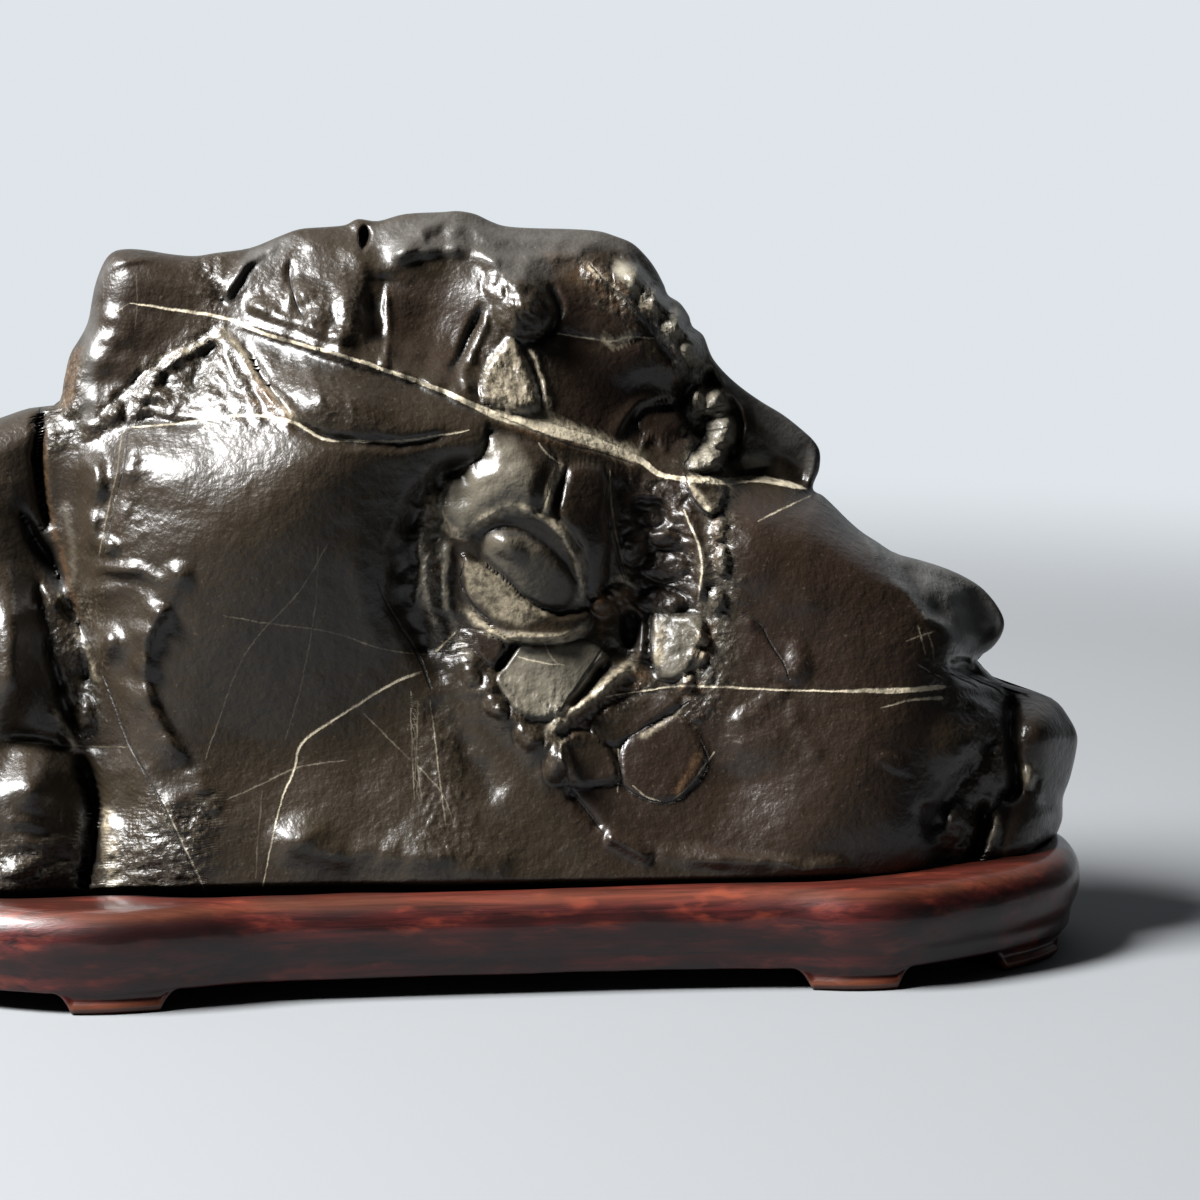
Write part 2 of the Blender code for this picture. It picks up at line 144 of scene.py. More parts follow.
# Spot heights of the stone's front: station, then millimetres towards the viewer.
SPOTS = [
    (-85, 560, 20), (-80, 700, 26), (-80, 830, 32), (-50, 480, 18), (-50, 560, 28), (-40, 650, 32),
    (-45, 740, 36), (-40, 820, 47), (0, 450, 18), (10, 500, 20), (0, 560, 27), (15, 620, 36),
    (15, 690, 41), (10, 750, 36), (30, 790, 50), (0, 830, 50), (10, 880, 54), (60, 850, 48),
    (60, 450, 16), (60, 500, 16), (60, 560, 18), (70, 620, 22), (85, 680, 28), (90, 740, 32),
    (95, 800, 36), (100, 870, 46),
    (90, 430, 18), (95, 480, 26), (95, 560, 33), (110, 640, 37), (120, 700, 40), (130, 780, 46),
    (150, 850, 54), (170, 880, 56), (100, 300, 12), (110, 350, 14), (150, 280, 12), (150, 330, 14),
    (150, 390, 20), (200, 290, 12), (210, 350, 18), (220, 400, 32), (140, 450, 33), (180, 480, 44),
    (230, 500, 52), (200, 560, 52), (170, 620, 49), (150, 700, 46), (170, 760, 49), (230, 640, 52),
    (240, 740, 49), (220, 820, 55), (300, 470, 53), (330, 530, 53), (300, 620, 52), (300, 720, 49),
    (290, 780, 51), (320, 850, 59), (260, 870, 58), (400, 490, 47), (380, 560, 49), (370, 640, 48),
    (380, 720, 47), (390, 790, 53), (420, 850, 61), (350, 880, 58), (300, 420, 45), (360, 400, 44),
    (420, 430, 46), (460, 430, 44),
    (260, 270, 10), (300, 260, 10), (300, 310, 20), (340, 300, 24), (360, 330, 27), (350, 260, 12),
    (260, 320, 18), (300, 370, 33), (380, 350, 27), (380, 240, 8), (420, 250, 11), (450, 235, 7),
    (500, 250, 10), (550, 260, 12), (600, 255, 9), (640, 262, 6), (420, 320, 17), (450, 350, 22),
    (520, 300, 26), (560, 330, 20), (600, 300, 16), (620, 360, 18), (640, 300, 14), (680, 350, 12),
    (590, 410, 24), (660, 420, 14), (700, 400, 12), (510, 380, 28),
    (730, 400, 4), (770, 430, 3), (800, 450, 2), (750, 470, 8), (800, 475, 4),
    (450, 470, 43), (500, 450, 44), (540, 480, 44), (450, 520, 42), (500, 530, 45), (540, 570, 44),
    (590, 550, 42), (600, 500, 38), (650, 500, 28), (660, 560, 29), (650, 600, 31), (690, 480, 26),
    (700, 540, 34), (710, 600, 38), (440, 600, 43), (450, 660, 45), (490, 660, 46), (540, 650, 46),
    (590, 660, 42), (560, 700, 48), (620, 640, 36), (660, 650, 38), (640, 690, 42), (700, 660, 42),
    (440, 740, 49), (480, 780, 52), (520, 720, 50), (560, 770, 53), (540, 830, 57), (600, 720, 46),
    (600, 770, 50), (640, 760, 49), (620, 830, 56), (650, 860, 58), (680, 720, 46), (690, 790, 51),
    (680, 850, 57),
    (760, 520, 32), (800, 540, 33), (760, 600, 40), (850, 580, 37), (820, 640, 42), (900, 620, 37),
    (880, 680, 44), (950, 640, 30), (940, 680, 36), (980, 620, 10), (760, 660, 43), (760, 720, 48),
    (800, 760, 52), (880, 760, 51), (950, 740, 40), (990, 720, 27), (980, 800, 33), (900, 830, 53),
    (800, 850, 59), (720, 840, 56), (740, 780, 49), (860, 875, 56), (970, 860, 38), (1010, 640, 0),
    (1040, 720, 18), (1055, 760, 16), (1030, 800, 27), (1010, 850, 34), (1045, 840, 22),
    (1000, 700, 12),
]

# Relief of the front: kind, place (stations, or an oval's middle, half-axes and tilt), millimetres,
# width, then the reach of a scarp or the fall of a plate across and down.
# A scarp lifts the side on the right hand of someone who walks along it.
RELIEF = [
    # cleft between the left lobe and the body, with its folds
    ("pit", [(14, 500), (26, 512), (44, 532), (58, 548), (70, 580), (64, 594), (46, 576), (28, 552),
             (16, 524)], -7, 12),
    ("groove", [(42, 400), (39, 430), (38, 460), (41, 495), (48, 535)], -8, 4),
    ("groove", [(62, 595), (78, 625), (86, 655), (84, 690)], -5, 5),
    ("groove", [(34, 575), (44, 620), (54, 665), (66, 705), (76, 745)], -6, 5),
    ("ridge", [(42, 582), (60, 612), (80, 642), (94, 676)], 2.6, 4),
    ("ridge", [(40, 600), (50, 640), (62, 676), (74, 708)], 3.0, 5),
    ("ridge", [(58, 590), (74, 622), (92, 662)], 2.0, 3.5),
    ("lump", (86, 714, 9, 20, 0), 4.0),
    ("ridge", [(54, 705), (64, 728), (76, 752)], 2.5, 4),
    ("pit", [(76, 748), (90, 762), (101, 788), (101, 830), (96, 862), (90, 890), (78, 884), (84, 840),
             (83, 800), (75, 772)], -12, 8),
    ("groove", [(0, 742), (40, 748), (75, 745), (110, 746), (135, 747)], -1.0, 3),
    ("dome", (34, 776, 34, 40, 0), 3.5),
    ("groove", [(4, 730), (26, 738), (50, 740), (70, 752)], -2.5, 7),
    ("ridge", [(50, 852), (28, 868), (0, 880)], 2.4, 6),
    ("ridge", [(14, 838), (40, 846), (74, 838)], 2, 6),
    # left edge of the body
    ("ridge", [(93, 452), (96, 480), (94, 515), (93, 556)], 4.5, 11),
    ("ridge", [(68, 500), (71, 540), (75, 590)], 1.2, 3),
    ("scarp", [(100, 560), (108, 520), (116, 480), (121, 455), (123, 428)], 2.2, 3, 24),
    ("lump", (107, 548, 12, 10, 0), 2.4),
    ("ridge", [(90, 566), (112, 567), (140, 571), (162, 584), (184, 606)], 1.8, 5),
    ("groove", [(92, 576), (120, 580), (150, 592), (176, 612)], -1.2, 5),
    ("dome", (178, 576, 20, 18, 0), 2.6),
    ("dome", (108, 642, 17, 28, 8), 3.4),
    ("scarp", [(184, 604), (166, 614), (153, 632), (148, 652), (149, 676), (158, 706), (174, 738),
               (190, 766)], 4.5, 4, 26),
    ("ridge", [(172, 606), (156, 624), (148, 652), (149, 684)], 1.6, 8),
    ("ridge", [(192, 768), (200, 784), (206, 796)], 1.6, 9),
    ("scarp", [(205, 895), (170, 830), (150, 790), (130, 742), (113, 700), (100, 666), (88, 640)],
     1.4, 3, 24),
    ("ridge", [(226, 802), (200, 800), (176, 800), (154, 806)], 1.1, 10),
    ("lump", (168, 822, 20, 12, 20), 0.6), ("lump", (200, 832, 14, 16, 0), 0.5),
    ("lump", (176, 862, 16, 18, 0), 0.5), ("lump", (146, 848, 12, 20, 0), 0.5),
    ("ridge", [(104, 812), (110, 840), (108, 876)], 1.2, 8),
    ("groove", [(122, 770), (128, 800), (124, 830)], -1.4, 8),
    # flat shoulder and the rugged wedge under it
    ("groove", [(226, 324), (200, 338), (165, 360), (142, 376), (120, 396), (90, 424)], -1.6, 4),
    ("ridge", [(80, 428), (98, 418), (124, 409)], 2.6, 8),
    ("ridge", [(140, 378), (158, 370), (176, 356), (205, 341), (232, 330)], 2.2, 6),
    ("ridge", [(130, 402), (150, 392), (170, 398), (176, 412)], 2.4, 7),
    ("groove", [(205, 424), (180, 423), (150, 420), (125, 428)], -2.4, 5),
    ("ridge", [(229, 330), (240, 356), (262, 384), (282, 408), (297, 428)], 2.2, 6),
    ("ridge", [(226, 332), (230, 360), (246, 392), (262, 414)], 1.6, 5),
    ("groove", [(236, 338), (254, 364), (276, 392), (288, 414)], -1.4, 4),
    ("groove", [(222, 334), (206, 358), (192, 384), (186, 410)], -1.8, 6),
    ("groove", [(196, 252), (205, 272), (216, 292), (224, 312)], -1.4, 5),
    ("groove", [(212, 252), (216, 280), (224, 306)], -1.0, 4),
    ("ridge", [(96, 284), (108, 270), (126, 262), (152, 258)], 1.0, 4),
    ("scarp", [(66, 420), (72, 380), (84, 342), (90, 300)], 3, 6, 60),
    # lens under the long vein
    ("groove", [(247, 350), (266, 380), (284, 404), (296, 424), (312, 433), (332, 441), (400, 443),
                (432, 440), (462, 428)], -2.6, 5),
    ("scarp", [(486, 410), (450, 396), (400, 378), (345, 360), (300, 346), (260, 333), (228, 326)],
     4, 4, 34),
    ("dome", (318, 398, 84, 34, 18), 3.0),
    ("ridge", [(302, 360), (316, 384), (322, 410)], 1.0, 5),
    # knob and crest on top, dark plate and the lip over it
    ("ridge", [(218, 302), (234, 278), (254, 256), (280, 240)], 2.4, 6),
    ("groove", [(226, 300), (240, 282), (258, 262)], -1.0, 3),
    ("groove", [(290, 258), (291, 284), (297, 304), (306, 322)], -2.2, 3.5),
    ("dome", (298, 300, 40, 26, 10), 2.6),
    ("ridge", [(240, 304), (264, 312), (300, 324), (332, 336), (358, 341)], 1.8, 5),
    ("groove", [(236, 312), (262, 320), (300, 334), (340, 348)], -1.6, 5),
    ("dome", (348, 308, 20, 36, 0), 2.4),
    ("scarp", [(366, 344), (368, 320), (366, 296), (372, 270)], -4, 6, 30),
    ("scarp", [(384, 362), (383, 330), (383, 296), (386, 280)], 1.6, 3, 30),
    ("pit", [(361, 226), (367, 224), (372, 233), (368, 245), (362, 252), (358, 243)], -6, 4),
    ("scarp", [(545, 287), (512, 281), (486, 266), (468, 256), (445, 252), (420, 254), (400, 264),
               (378, 272)], 3.0, 9, 34),
    ("ridge", [(380, 266), (402, 252), (440, 246), (474, 254), (510, 262), (560, 256), (610, 246)],
     1.6, 8),
    ("ridge", [(392, 250), (420, 232), (450, 224), (500, 236), (560, 240), (610, 236)], 1.2, 8),
    ("groove", [(402, 256), (424, 244), (460, 240), (500, 250), (560, 248)], -1.0, 5),
    ("groove", [(452, 216), (444, 228), (424, 238)], -1.0, 6),
    ("ridge", [(368, 262), (400, 270), (450, 262)], 0.8, 5),
    ("groove", [(484, 300), (472, 328), (462, 352), (450, 376)], -3.2, 4),
    ("ridge", [(488, 312), (478, 340), (466, 364)], 1.6, 4),
    ("scarp", [(640, 262), (610, 250), (580, 252), (552, 268), (540, 282)], 1.6, 7, 26),
    ("lump", (522, 308, 30, 34, -34), 1.7),
    ("lump", (493, 289, 13, 12, 20), 1.4), ("lump", (514, 320, 13, 14, 0), 1.0),
    ("lump", (530, 308, 12, 18, -30), 1.8),
    ("ridge", [(486, 284), (496, 278), (512, 284), (524, 296)], 1.6, 5),
    ("ridge", [(502, 306), (514, 304), (528, 310), (536, 322)], 1.8, 5),
    ("ridge", [(506, 332), (520, 334), (534, 330)], 1.4, 4),
    ("groove", [(546, 284), (557, 300), (558, 316), (550, 332), (536, 342), (520, 344)], -3, 4),
    ("plate", [(500, 347), (513, 339), (523, 350), (534, 370), (543, 394), (542, 408), (526, 414),
               (506, 411), (484, 401), (479, 386), (486, 366), (492, 354)], 3.0, 12, 0.03, 0.03),
    ("ridge", [(528, 346), (538, 366), (546, 392), (550, 408)], 2.0, 5),
    ("ridge", [(494, 358), (506, 352), (520, 356)], 0.9, 3),
    ("ridge", [(488, 368), (504, 360), (526, 366)], 0.9, 3),
    ("ridge", [(484, 379), (504, 371), (530, 378)], 0.9, 3),
    ("ridge", [(484, 390), (506, 382), (534, 390)], 0.9, 3),
    ("ridge", [(488, 400), (508, 393), (536, 400)], 0.9, 3),
    ("ridge", [(472, 352), (462, 370), (470, 392)], 1.2, 5),
    ("groove", [(521, 346), (532, 368), (541, 392), (540, 408)], -2.0, 3.5),
    # brown plate, its seam, and the knotted edge down its right side
    ("groove", [(556, 334), (585, 341), (610, 344), (640, 338), (656, 338)], -1.2, 4),
    ("ridge", [(584, 264), (602, 280), (624, 298), (648, 322)], 2.4, 6),
    ("ridge", [(610, 262), (634, 280), (658, 304), (682, 332), (700, 358)], 6.0, 14),
    ("lump", (632, 278, 24, 15, 40), 3.6), ("lump", (656, 302, 19, 15, 40), 3.8),
    ("lump", (678, 324, 18, 17, 40), 4.0), ("lump", (694, 350, 14, 18, 0), 3.8),
    ("lump", (702, 374, 12, 13, 0), 2.2),
    ("groove", [(600, 282), (626, 300), (646, 324), (664, 350), (684, 376)], -2.6, 5),
    ("ridge", [(706, 388), (720, 398), (728, 418), (724, 444), (706, 466)], 8.0, 15),
    ("lump", (712, 400, 22, 18, 10), 4.0), ("lump", (722, 430, 18, 19, 0), 4.0),
    ("lump", (710, 456, 22, 15, -30), 2.8), ("lump", (694, 404, 11, 14, 0), 2.2),
    ("groove", [(690, 384), (684, 404), (692, 424), (700, 440), (690, 460)], -2.6, 5),
    ("ridge", [(612, 438), (626, 414), (650, 398), (676, 396)], 1.8, 7),
    ("groove", [(620, 440), (634, 420), (656, 406), (676, 408)], -1.8, 5),
    ("lump", (660, 424, 26, 18, 20), 1.8),
    ("ridge", [(640, 446), (656, 436), (668, 452)], 1.4, 4),
    ("scarp", [(712, 356), (718, 380), (736, 402), (741, 428), (738, 452), (730, 474)], -9, 4, 60),
    ("scarp", [(820, 484), (780, 484), (740, 480), (728, 480)], -5, 4, 30),
    # hollow: its dark wall, outer rim and plates
    ("scarp", [(433, 700), (426, 672), (412, 646), (398, 620), (390, 600), (390, 570), (394, 545),
               (402, 524), (410, 506), (418, 490), (434, 474), (454, 463), (475, 454), (485, 438),
               (488, 416)], -5, 12, 40),
    ("scarp", [(416, 490), (434, 473), (454, 463), (475, 454), (485, 438), (488, 416)], -2.5, 3, 16),
    ("groove", [(432, 690), (446, 716), (462, 742), (478, 772), (500, 806)], -1.5, 14),
    ("ridge", [(438, 474), (428, 500), (423, 530), (425, 560), (430, 600), (438, 640)], 3.2, 8),
    ("ridge", [(450, 540), (446, 580), (452, 620)], 1.6, 5),
    ("plate", [(489, 432), (486, 448), (474, 462), (455, 472), (442, 484), (438, 502), (443, 520),
               (456, 533), (468, 534), (478, 524), (492, 514), (512, 509), (535, 511), (546, 498),
               (552, 480), (558, 464), (545, 446), (518, 437)], 3.2, 26, 0.03, 0.03),
    ("dome", (490, 478, 40, 34, 20), 2.0),
    ("ridge", [(562, 462), (555, 478), (550, 496), (545, 516)], 2.6, 5),
    ("groove", [(569, 466), (562, 486), (556, 508)], -1.4, 4),
    ("plate", [(572, 464), (604, 470), (606, 520), (610, 560), (602, 592), (590, 596), (588, 570),
               (578, 540), (562, 520), (562, 490)], 2.0, 9),
    ("ridge", [(466, 536), (478, 524), (494, 514), (514, 510), (540, 516), (560, 530), (574, 550),
               (581, 572), (581, 594), (574, 610)], 2.2, 5),
    ("oval", (530, 569, 54, 29, 38), 2.6),
    ("dome", (508, 546, 28, 17, 38), 2.4),
    ("plate", [(461, 556), (478, 560), (498, 576), (522, 596), (546, 611), (562, 616), (590, 610),
               (590, 626), (562, 638), (530, 641), (508, 636), (488, 622), (470, 602)], 3.0, 7),
    ("ridge", [(462, 604), (478, 622), (498, 634), (528, 638), (560, 638), (588, 630)], 2.4, 5),
    ("pit", [(511, 640), (522, 642), (516, 654), (506, 668), (494, 672), (496, 660), (506, 650)],
     -3.6, 5),
    ("plate", [(466, 628), (486, 634), (506, 646), (494, 666), (478, 656), (466, 642)], 1.6, 6),
    ("plate", [(520, 643), (545, 646), (570, 642), (592, 641), (609, 652), (600, 671), (585, 688),
               (571, 706), (558, 717), (540, 721), (520, 711), (505, 698), (497, 680), (504, 664),
               (512, 654)], 1.6, 7, 0.02, 0.02),
    ("ridge", [(636, 660), (614, 678), (592, 698), (568, 716), (543, 736)], 3.6, 8),
    ("groove", [(606, 662), (586, 686), (566, 710)], -2.4, 4),
    ("ridge", [(452, 645), (466, 668), (488, 694), (512, 718), (536, 740), (552, 762), (562, 790)],
     4.2, 16),
    ("lump", (470, 678, 12, 10, 40), 1.4), ("lump", (496, 706, 14, 11, 40), 1.6),
    ("lump", (528, 736, 16, 12, 40), 1.8), ("lump", (554, 766, 12, 18, 0), 1.8),
    ("lump", (604, 604, 14, 12, -30), 3.0), ("lump", (618, 592, 13, 9, 0), 2.4),
    ("pit", [(618, 616), (634, 608), (642, 622), (638, 646), (626, 652), (618, 638)], -5, 7),
    ("groove", [(604, 640), (620, 654), (640, 664), (660, 668)], -2.2, 6),
    ("lump", (634, 548, 14, 18, 10), 2.6), ("lump", (664, 538, 18, 9, 0), 2.2),
    ("lump", (662, 602, 26, 13, 5), 2.8), ("lump", (664, 566, 26, 16, 0), 2.0),
    ("pit", [(630, 500), (662, 496), (676, 516), (664, 532), (636, 530)], -2.6, 8),
    ("plate", [(650, 616), (662, 612), (692, 612), (704, 622), (698, 650), (686, 674), (662, 680),
               (652, 664)], 2.6, 8, 0.02, 0.0),
    ("ridge", [(640, 622), (642, 644), (636, 664)], 2.0, 4),
    ("scarp", [(628, 584), (621, 560), (614, 520), (610, 468)], -2.4, 4, 30),
    ("ridge", [(680, 504), (691, 524), (700, 552), (703, 574), (698, 602)], 2.4, 5),
    ("plate", [(684, 480), (700, 476), (724, 482), (724, 504), (712, 514), (696, 506)], 3.0, 8),
    ("lump", (700, 640, 9, 8, 0), 2.6), ("lump", (698, 657, 10, 7, 10), 2.6),
    ("lump", (686, 682, 8, 11, 20), 2.8), ("lump", (716, 600, 9, 16, 10), 2.4),
    ("lump", (722, 560, 8, 16, 0), 2.2), ("lump", (720, 528, 9, 14, 0), 2.2),
    # broken plates under the hollow
    ("plate", [(560, 742), (590, 730), (613, 755), (618, 780), (584, 786), (562, 772)], 1.5, 7,
     0.02, 0.0),
    ("ridge", [(556, 738), (562, 760), (572, 784)], 2.0, 6),
    ("plate", [(622, 746), (650, 726), (682, 716), (701, 740), (706, 765), (690, 790), (670, 802),
               (642, 797), (622, 780)], 1.0, 6),
    ("plate", [(590, 724), (620, 700), (668, 694), (680, 704), (655, 722), (632, 738), (606, 744)],
     1.2, 6),
    ("groove", [(568, 788), (586, 810), (602, 832)], -2.2, 5),
    ("ridge", [(604, 836), (626, 846), (652, 862)], 2.6, 7),
    # right slab, nose and knobs
    ("ridge", [(816, 494), (850, 522), (880, 556), (905, 586), (925, 611), (950, 631), (964, 650)],
     2.0, 5),
    ("scarp", [(962, 664), (964, 649), (950, 629), (925, 609), (898, 582), (876, 552)], -5, 5, 60),
    ("pit", [(946, 664), (962, 656), (982, 662), (994, 676), (974, 684), (955, 678)], -8, 6),
    ("ridge", [(950, 684), (974, 690), (1000, 690)], 1.8, 4),
    ("ridge", [(948, 700), (974, 702), (996, 712)], 1.8, 5),
    ("scarp", [(740, 612), (758, 622), (766, 638), (776, 652), (786, 668), (790, 682)], 1.2, 4, 30),
    ("ridge", [(790, 684), (768, 698), (748, 714), (730, 728)], 1.0, 9),
    ("dome", (756, 744, 52, 40, -10), 1.8),
    ("dome", (800, 664, 18, 26, 0), 1.0),
    ("groove", [(1012, 690), (1009, 720), (1011, 752), (1016, 782), (1002, 800), (992, 806)], -9, 7),
    ("dome", (1044, 735, 30, 52, -8), 4.0),
    ("lump", (1026, 778, 13, 12, 0), 3.0),
    ("dome", (1024, 830, 30, 46, 10), 4.0),
    ("ridge", [(992, 806), (995, 826), (988, 848), (974, 874)], 3.6, 5),
    ("groove", [(984, 800), (984, 826), (974, 850), (962, 876)], -7, 6),
    ("groove", [(1036, 800), (1056, 812), (1046, 836), (1032, 856)], -2.4, 5),
    ("groove", [(998, 712), (990, 744), (968, 776), (944, 806), (934, 836)], -3.6, 8),
    ("dome", (956, 748, 34, 40, 20), 2.6), ("lump", (956, 822, 13, 20, 10), 3.0),
    ("groove", [(926, 800), (930, 836), (950, 868)], -3.5, 10),
    ("dome", (298, 838, 40, 32, -20), 1.6),
    ("ridge", [(262, 850), (300, 842), (350, 856), (400, 852), (450, 860), (530, 866)], 1.8, 16),
    ("ridge", [(650, 852), (700, 858), (770, 866), (830, 868), (862, 872)], 2.2, 8),
    ("ridge", [(690, 846), (740, 856), (800, 862)], 1.2, 4),
    ("dome", (6, 660, 26, 84, 0), 4.0),
    ("ridge", [(0, 560), (14, 600), (16, 660), (12, 716)], 1.6, 10),
    ("ridge", [(800, 500), (806, 560), (800, 620)], 0.8, 18),
    ("lump", (893, 764, 20, 10, 30), 0.8),
    ("ridge", [(800, 640), (796, 664), (790, 684)], 0.8, 10),
    ("ridge", [(790, 700), (800, 730), (822, 762)], 0.7, 8),
    ("dome", (160, 470, 70, 46, 10), 2.0),
    ("ridge", [(118, 440), (116, 480), (108, 520)], 1.6, 6),
    ("ridge", [(132, 440), (128, 490), (120, 540)], 1.2, 6),
    ("dome", (308, 402, 46, 34, 30), 1.6),
    ("dome", (264, 362, 20, 18, 40), 1.2),
    ("ridge", [(300, 250), (330, 244), (352, 254), (372, 272)], 1.2, 10),
    ("lump", (300, 292, 16, 12, 0), 1.2), ("lump", (316, 318, 20, 8, 10), 1.4),
    ("lump", (262, 304, 20, 8, 10), 1.4), ("lump", (346, 334, 20, 8, 10), 1.2),
    ("ridge", [(385, 292), (388, 320), (386, 352)], 1.0, 3),
    ("lump", (384, 362, 8, 8, 0), 1.4),
    ("ridge", [(92, 280), (106, 264), (130, 256), (180, 256)], 1.0, 5),
    ("ridge", [(66, 420), (72, 396), (84, 370)], 1.2, 6),
    ("lump", (92, 432, 14, 10, -30), 1.0), ("lump", (112, 414, 14, 9, -35), 0.9),
    ("lump", (150, 380, 16, 12, -30), 1.8), ("lump", (176, 362, 16, 10, -30), 1.4),
    ("lump", (160, 396, 14, 10, 20), 1.4), ("lump", (186, 394, 12, 12, 0), 1.2),
    ("ridge", [(216, 340), (232, 366), (252, 392)], 1.2, 4),
    ("ridge", [(206, 356), (222, 380), (240, 404)], 1.2, 4),
    ("ridge", [(196, 372), (210, 394), (226, 412)], 1.0, 4),
    ("lump", (52, 872, 24, 10, -20), 1.4), ("lump", (18, 868, 20, 12, -20), 1.6),
    ("ridge", [(380, 700), (392, 760), (398, 820)], 0.3, 14),
    ("ridge", [(440, 720), (452, 776), (474, 830)], 0.6, 16),
    ("ridge", [(350, 530), (362, 600), (378, 660)], 0.6, 10),
    ("dome", (92, 474, 18, 40, 0), 2.6), ("dome", (90, 530, 14, 22, 0), 1.8),
    ("dome", (98, 590, 18, 30, 0), 2.2), ("dome", (112, 650, 20, 36, 10), 2.0),
    ("lump", (108, 640, 9, 16, 0), 1.0), ("lump", (96, 622, 8, 12, 0), 1.0),
    ("ridge", [(86, 572), (104, 566), (126, 572), (142, 566)], 1.2, 4),
    ("ridge", [(100, 592), (124, 588), (150, 592), (176, 602)], 1.0, 4),
    ("ridge", [(44, 596), (54, 622), (66, 650), (78, 676)], 1.4, 3),
    ("ridge", [(52, 600), (64, 630), (78, 660)], 1.2, 3),
    ("groove", [(62, 606), (74, 636), (86, 664)], -1.4, 3),
    ("ridge", [(0, 820), (24, 824), (50, 832)], 1.2, 6),
    ("dome", (570, 440, 60, 14, 16), 1.0),
]

# Rugged places of the front: outline, millimetres, wavelength in squares, loss of polish.
RUGGED = [
    ([(46, 590), (98, 590), (104, 660), (98, 745), (62, 748), (46, 690)], 0.5, 15, 0.5),
    ([(100, 842), (126, 826), (148, 796), (185, 802), (222, 800), (206, 850), (196, 892), (104, 892)],
     0.7, 14, 0.6),
    ([(120, 408), (150, 372), (215, 332), (250, 355), (285, 405), (295, 426), (205, 422), (125, 428)],
     0.8, 22, 0.5),
    ([(78, 440), (108, 405), (150, 362), (222, 318), (232, 335), (190, 362), (150, 400), (110, 432)],
     0.7, 15, 0.6),
    ([(424, 468), (454, 470), (440, 530), (450, 600), (470, 650), (438, 662), (412, 600), (408, 530)],
     0.7, 13, 0.7),
    ([(704, 500), (735, 492), (738, 600), (722, 720), (680, 722), (688, 640), (708, 600)], 0.6, 14, 0.6),
    ([(610, 470), (690, 480), (706, 560), (706, 650), (650, 662), (606, 660), (618, 560)], 0.6, 18, 0.4),
    ([(583, 258), (652, 286), (700, 330), (724, 400), (724, 470), (680, 500), (684, 400), (654, 345),
      (586, 290)], 0.5, 12, 0.75),
    ([(940, 690), (1010, 690), (1012, 760), (985, 800), (975, 880), (935, 880), (938, 800), (968, 740)],
     0.9, 24, 0.45),
    ([(195, 250), (228, 250), (226, 318), (203, 318)], 0.3, 12, 0.5),
    ([(540, 700), (600, 690), (640, 655), (652, 690), (560, 750)], 0.5, 12, 0.7),
    ([(-90, 850), (0, 850), (84, 845), (84, 910), (-90, 905)], 0.8, 16, 0.5),
    ([(50, 360), (82, 350), (78, 440), (48, 450)], 0.5, 13, 0.8),
    ([(455, 640), (500, 670), (560, 720), (572, 790), (520, 740), (470, 690)], 0.25, 18, 0.3),
    ([(236, 294), (366, 268), (372, 345), (300, 330)], 0.3, 14, 0.3),
    ([(255, 345), (330, 365), (380, 430), (300, 428)], 0.35, 16, 0.2),
    ([(405, 700), (450, 700), (480, 860), (420, 860)], 0.25, 11, 0.2),
    ([(104, 430), (150, 430), (150, 560), (96, 560)], 0.4, 13, 0.2),
    ([(486, 276), (540, 280), (544, 336), (500, 338)], 0.4, 9, 0.2),
    ([(720, 716), (800, 640), (830, 690), (800, 770), (726, 768)], 0.22, 10, 0.1),
    ([(482, 345), (552, 345), (552, 412), (482, 410)], 0.5, 10, 0.4),
]
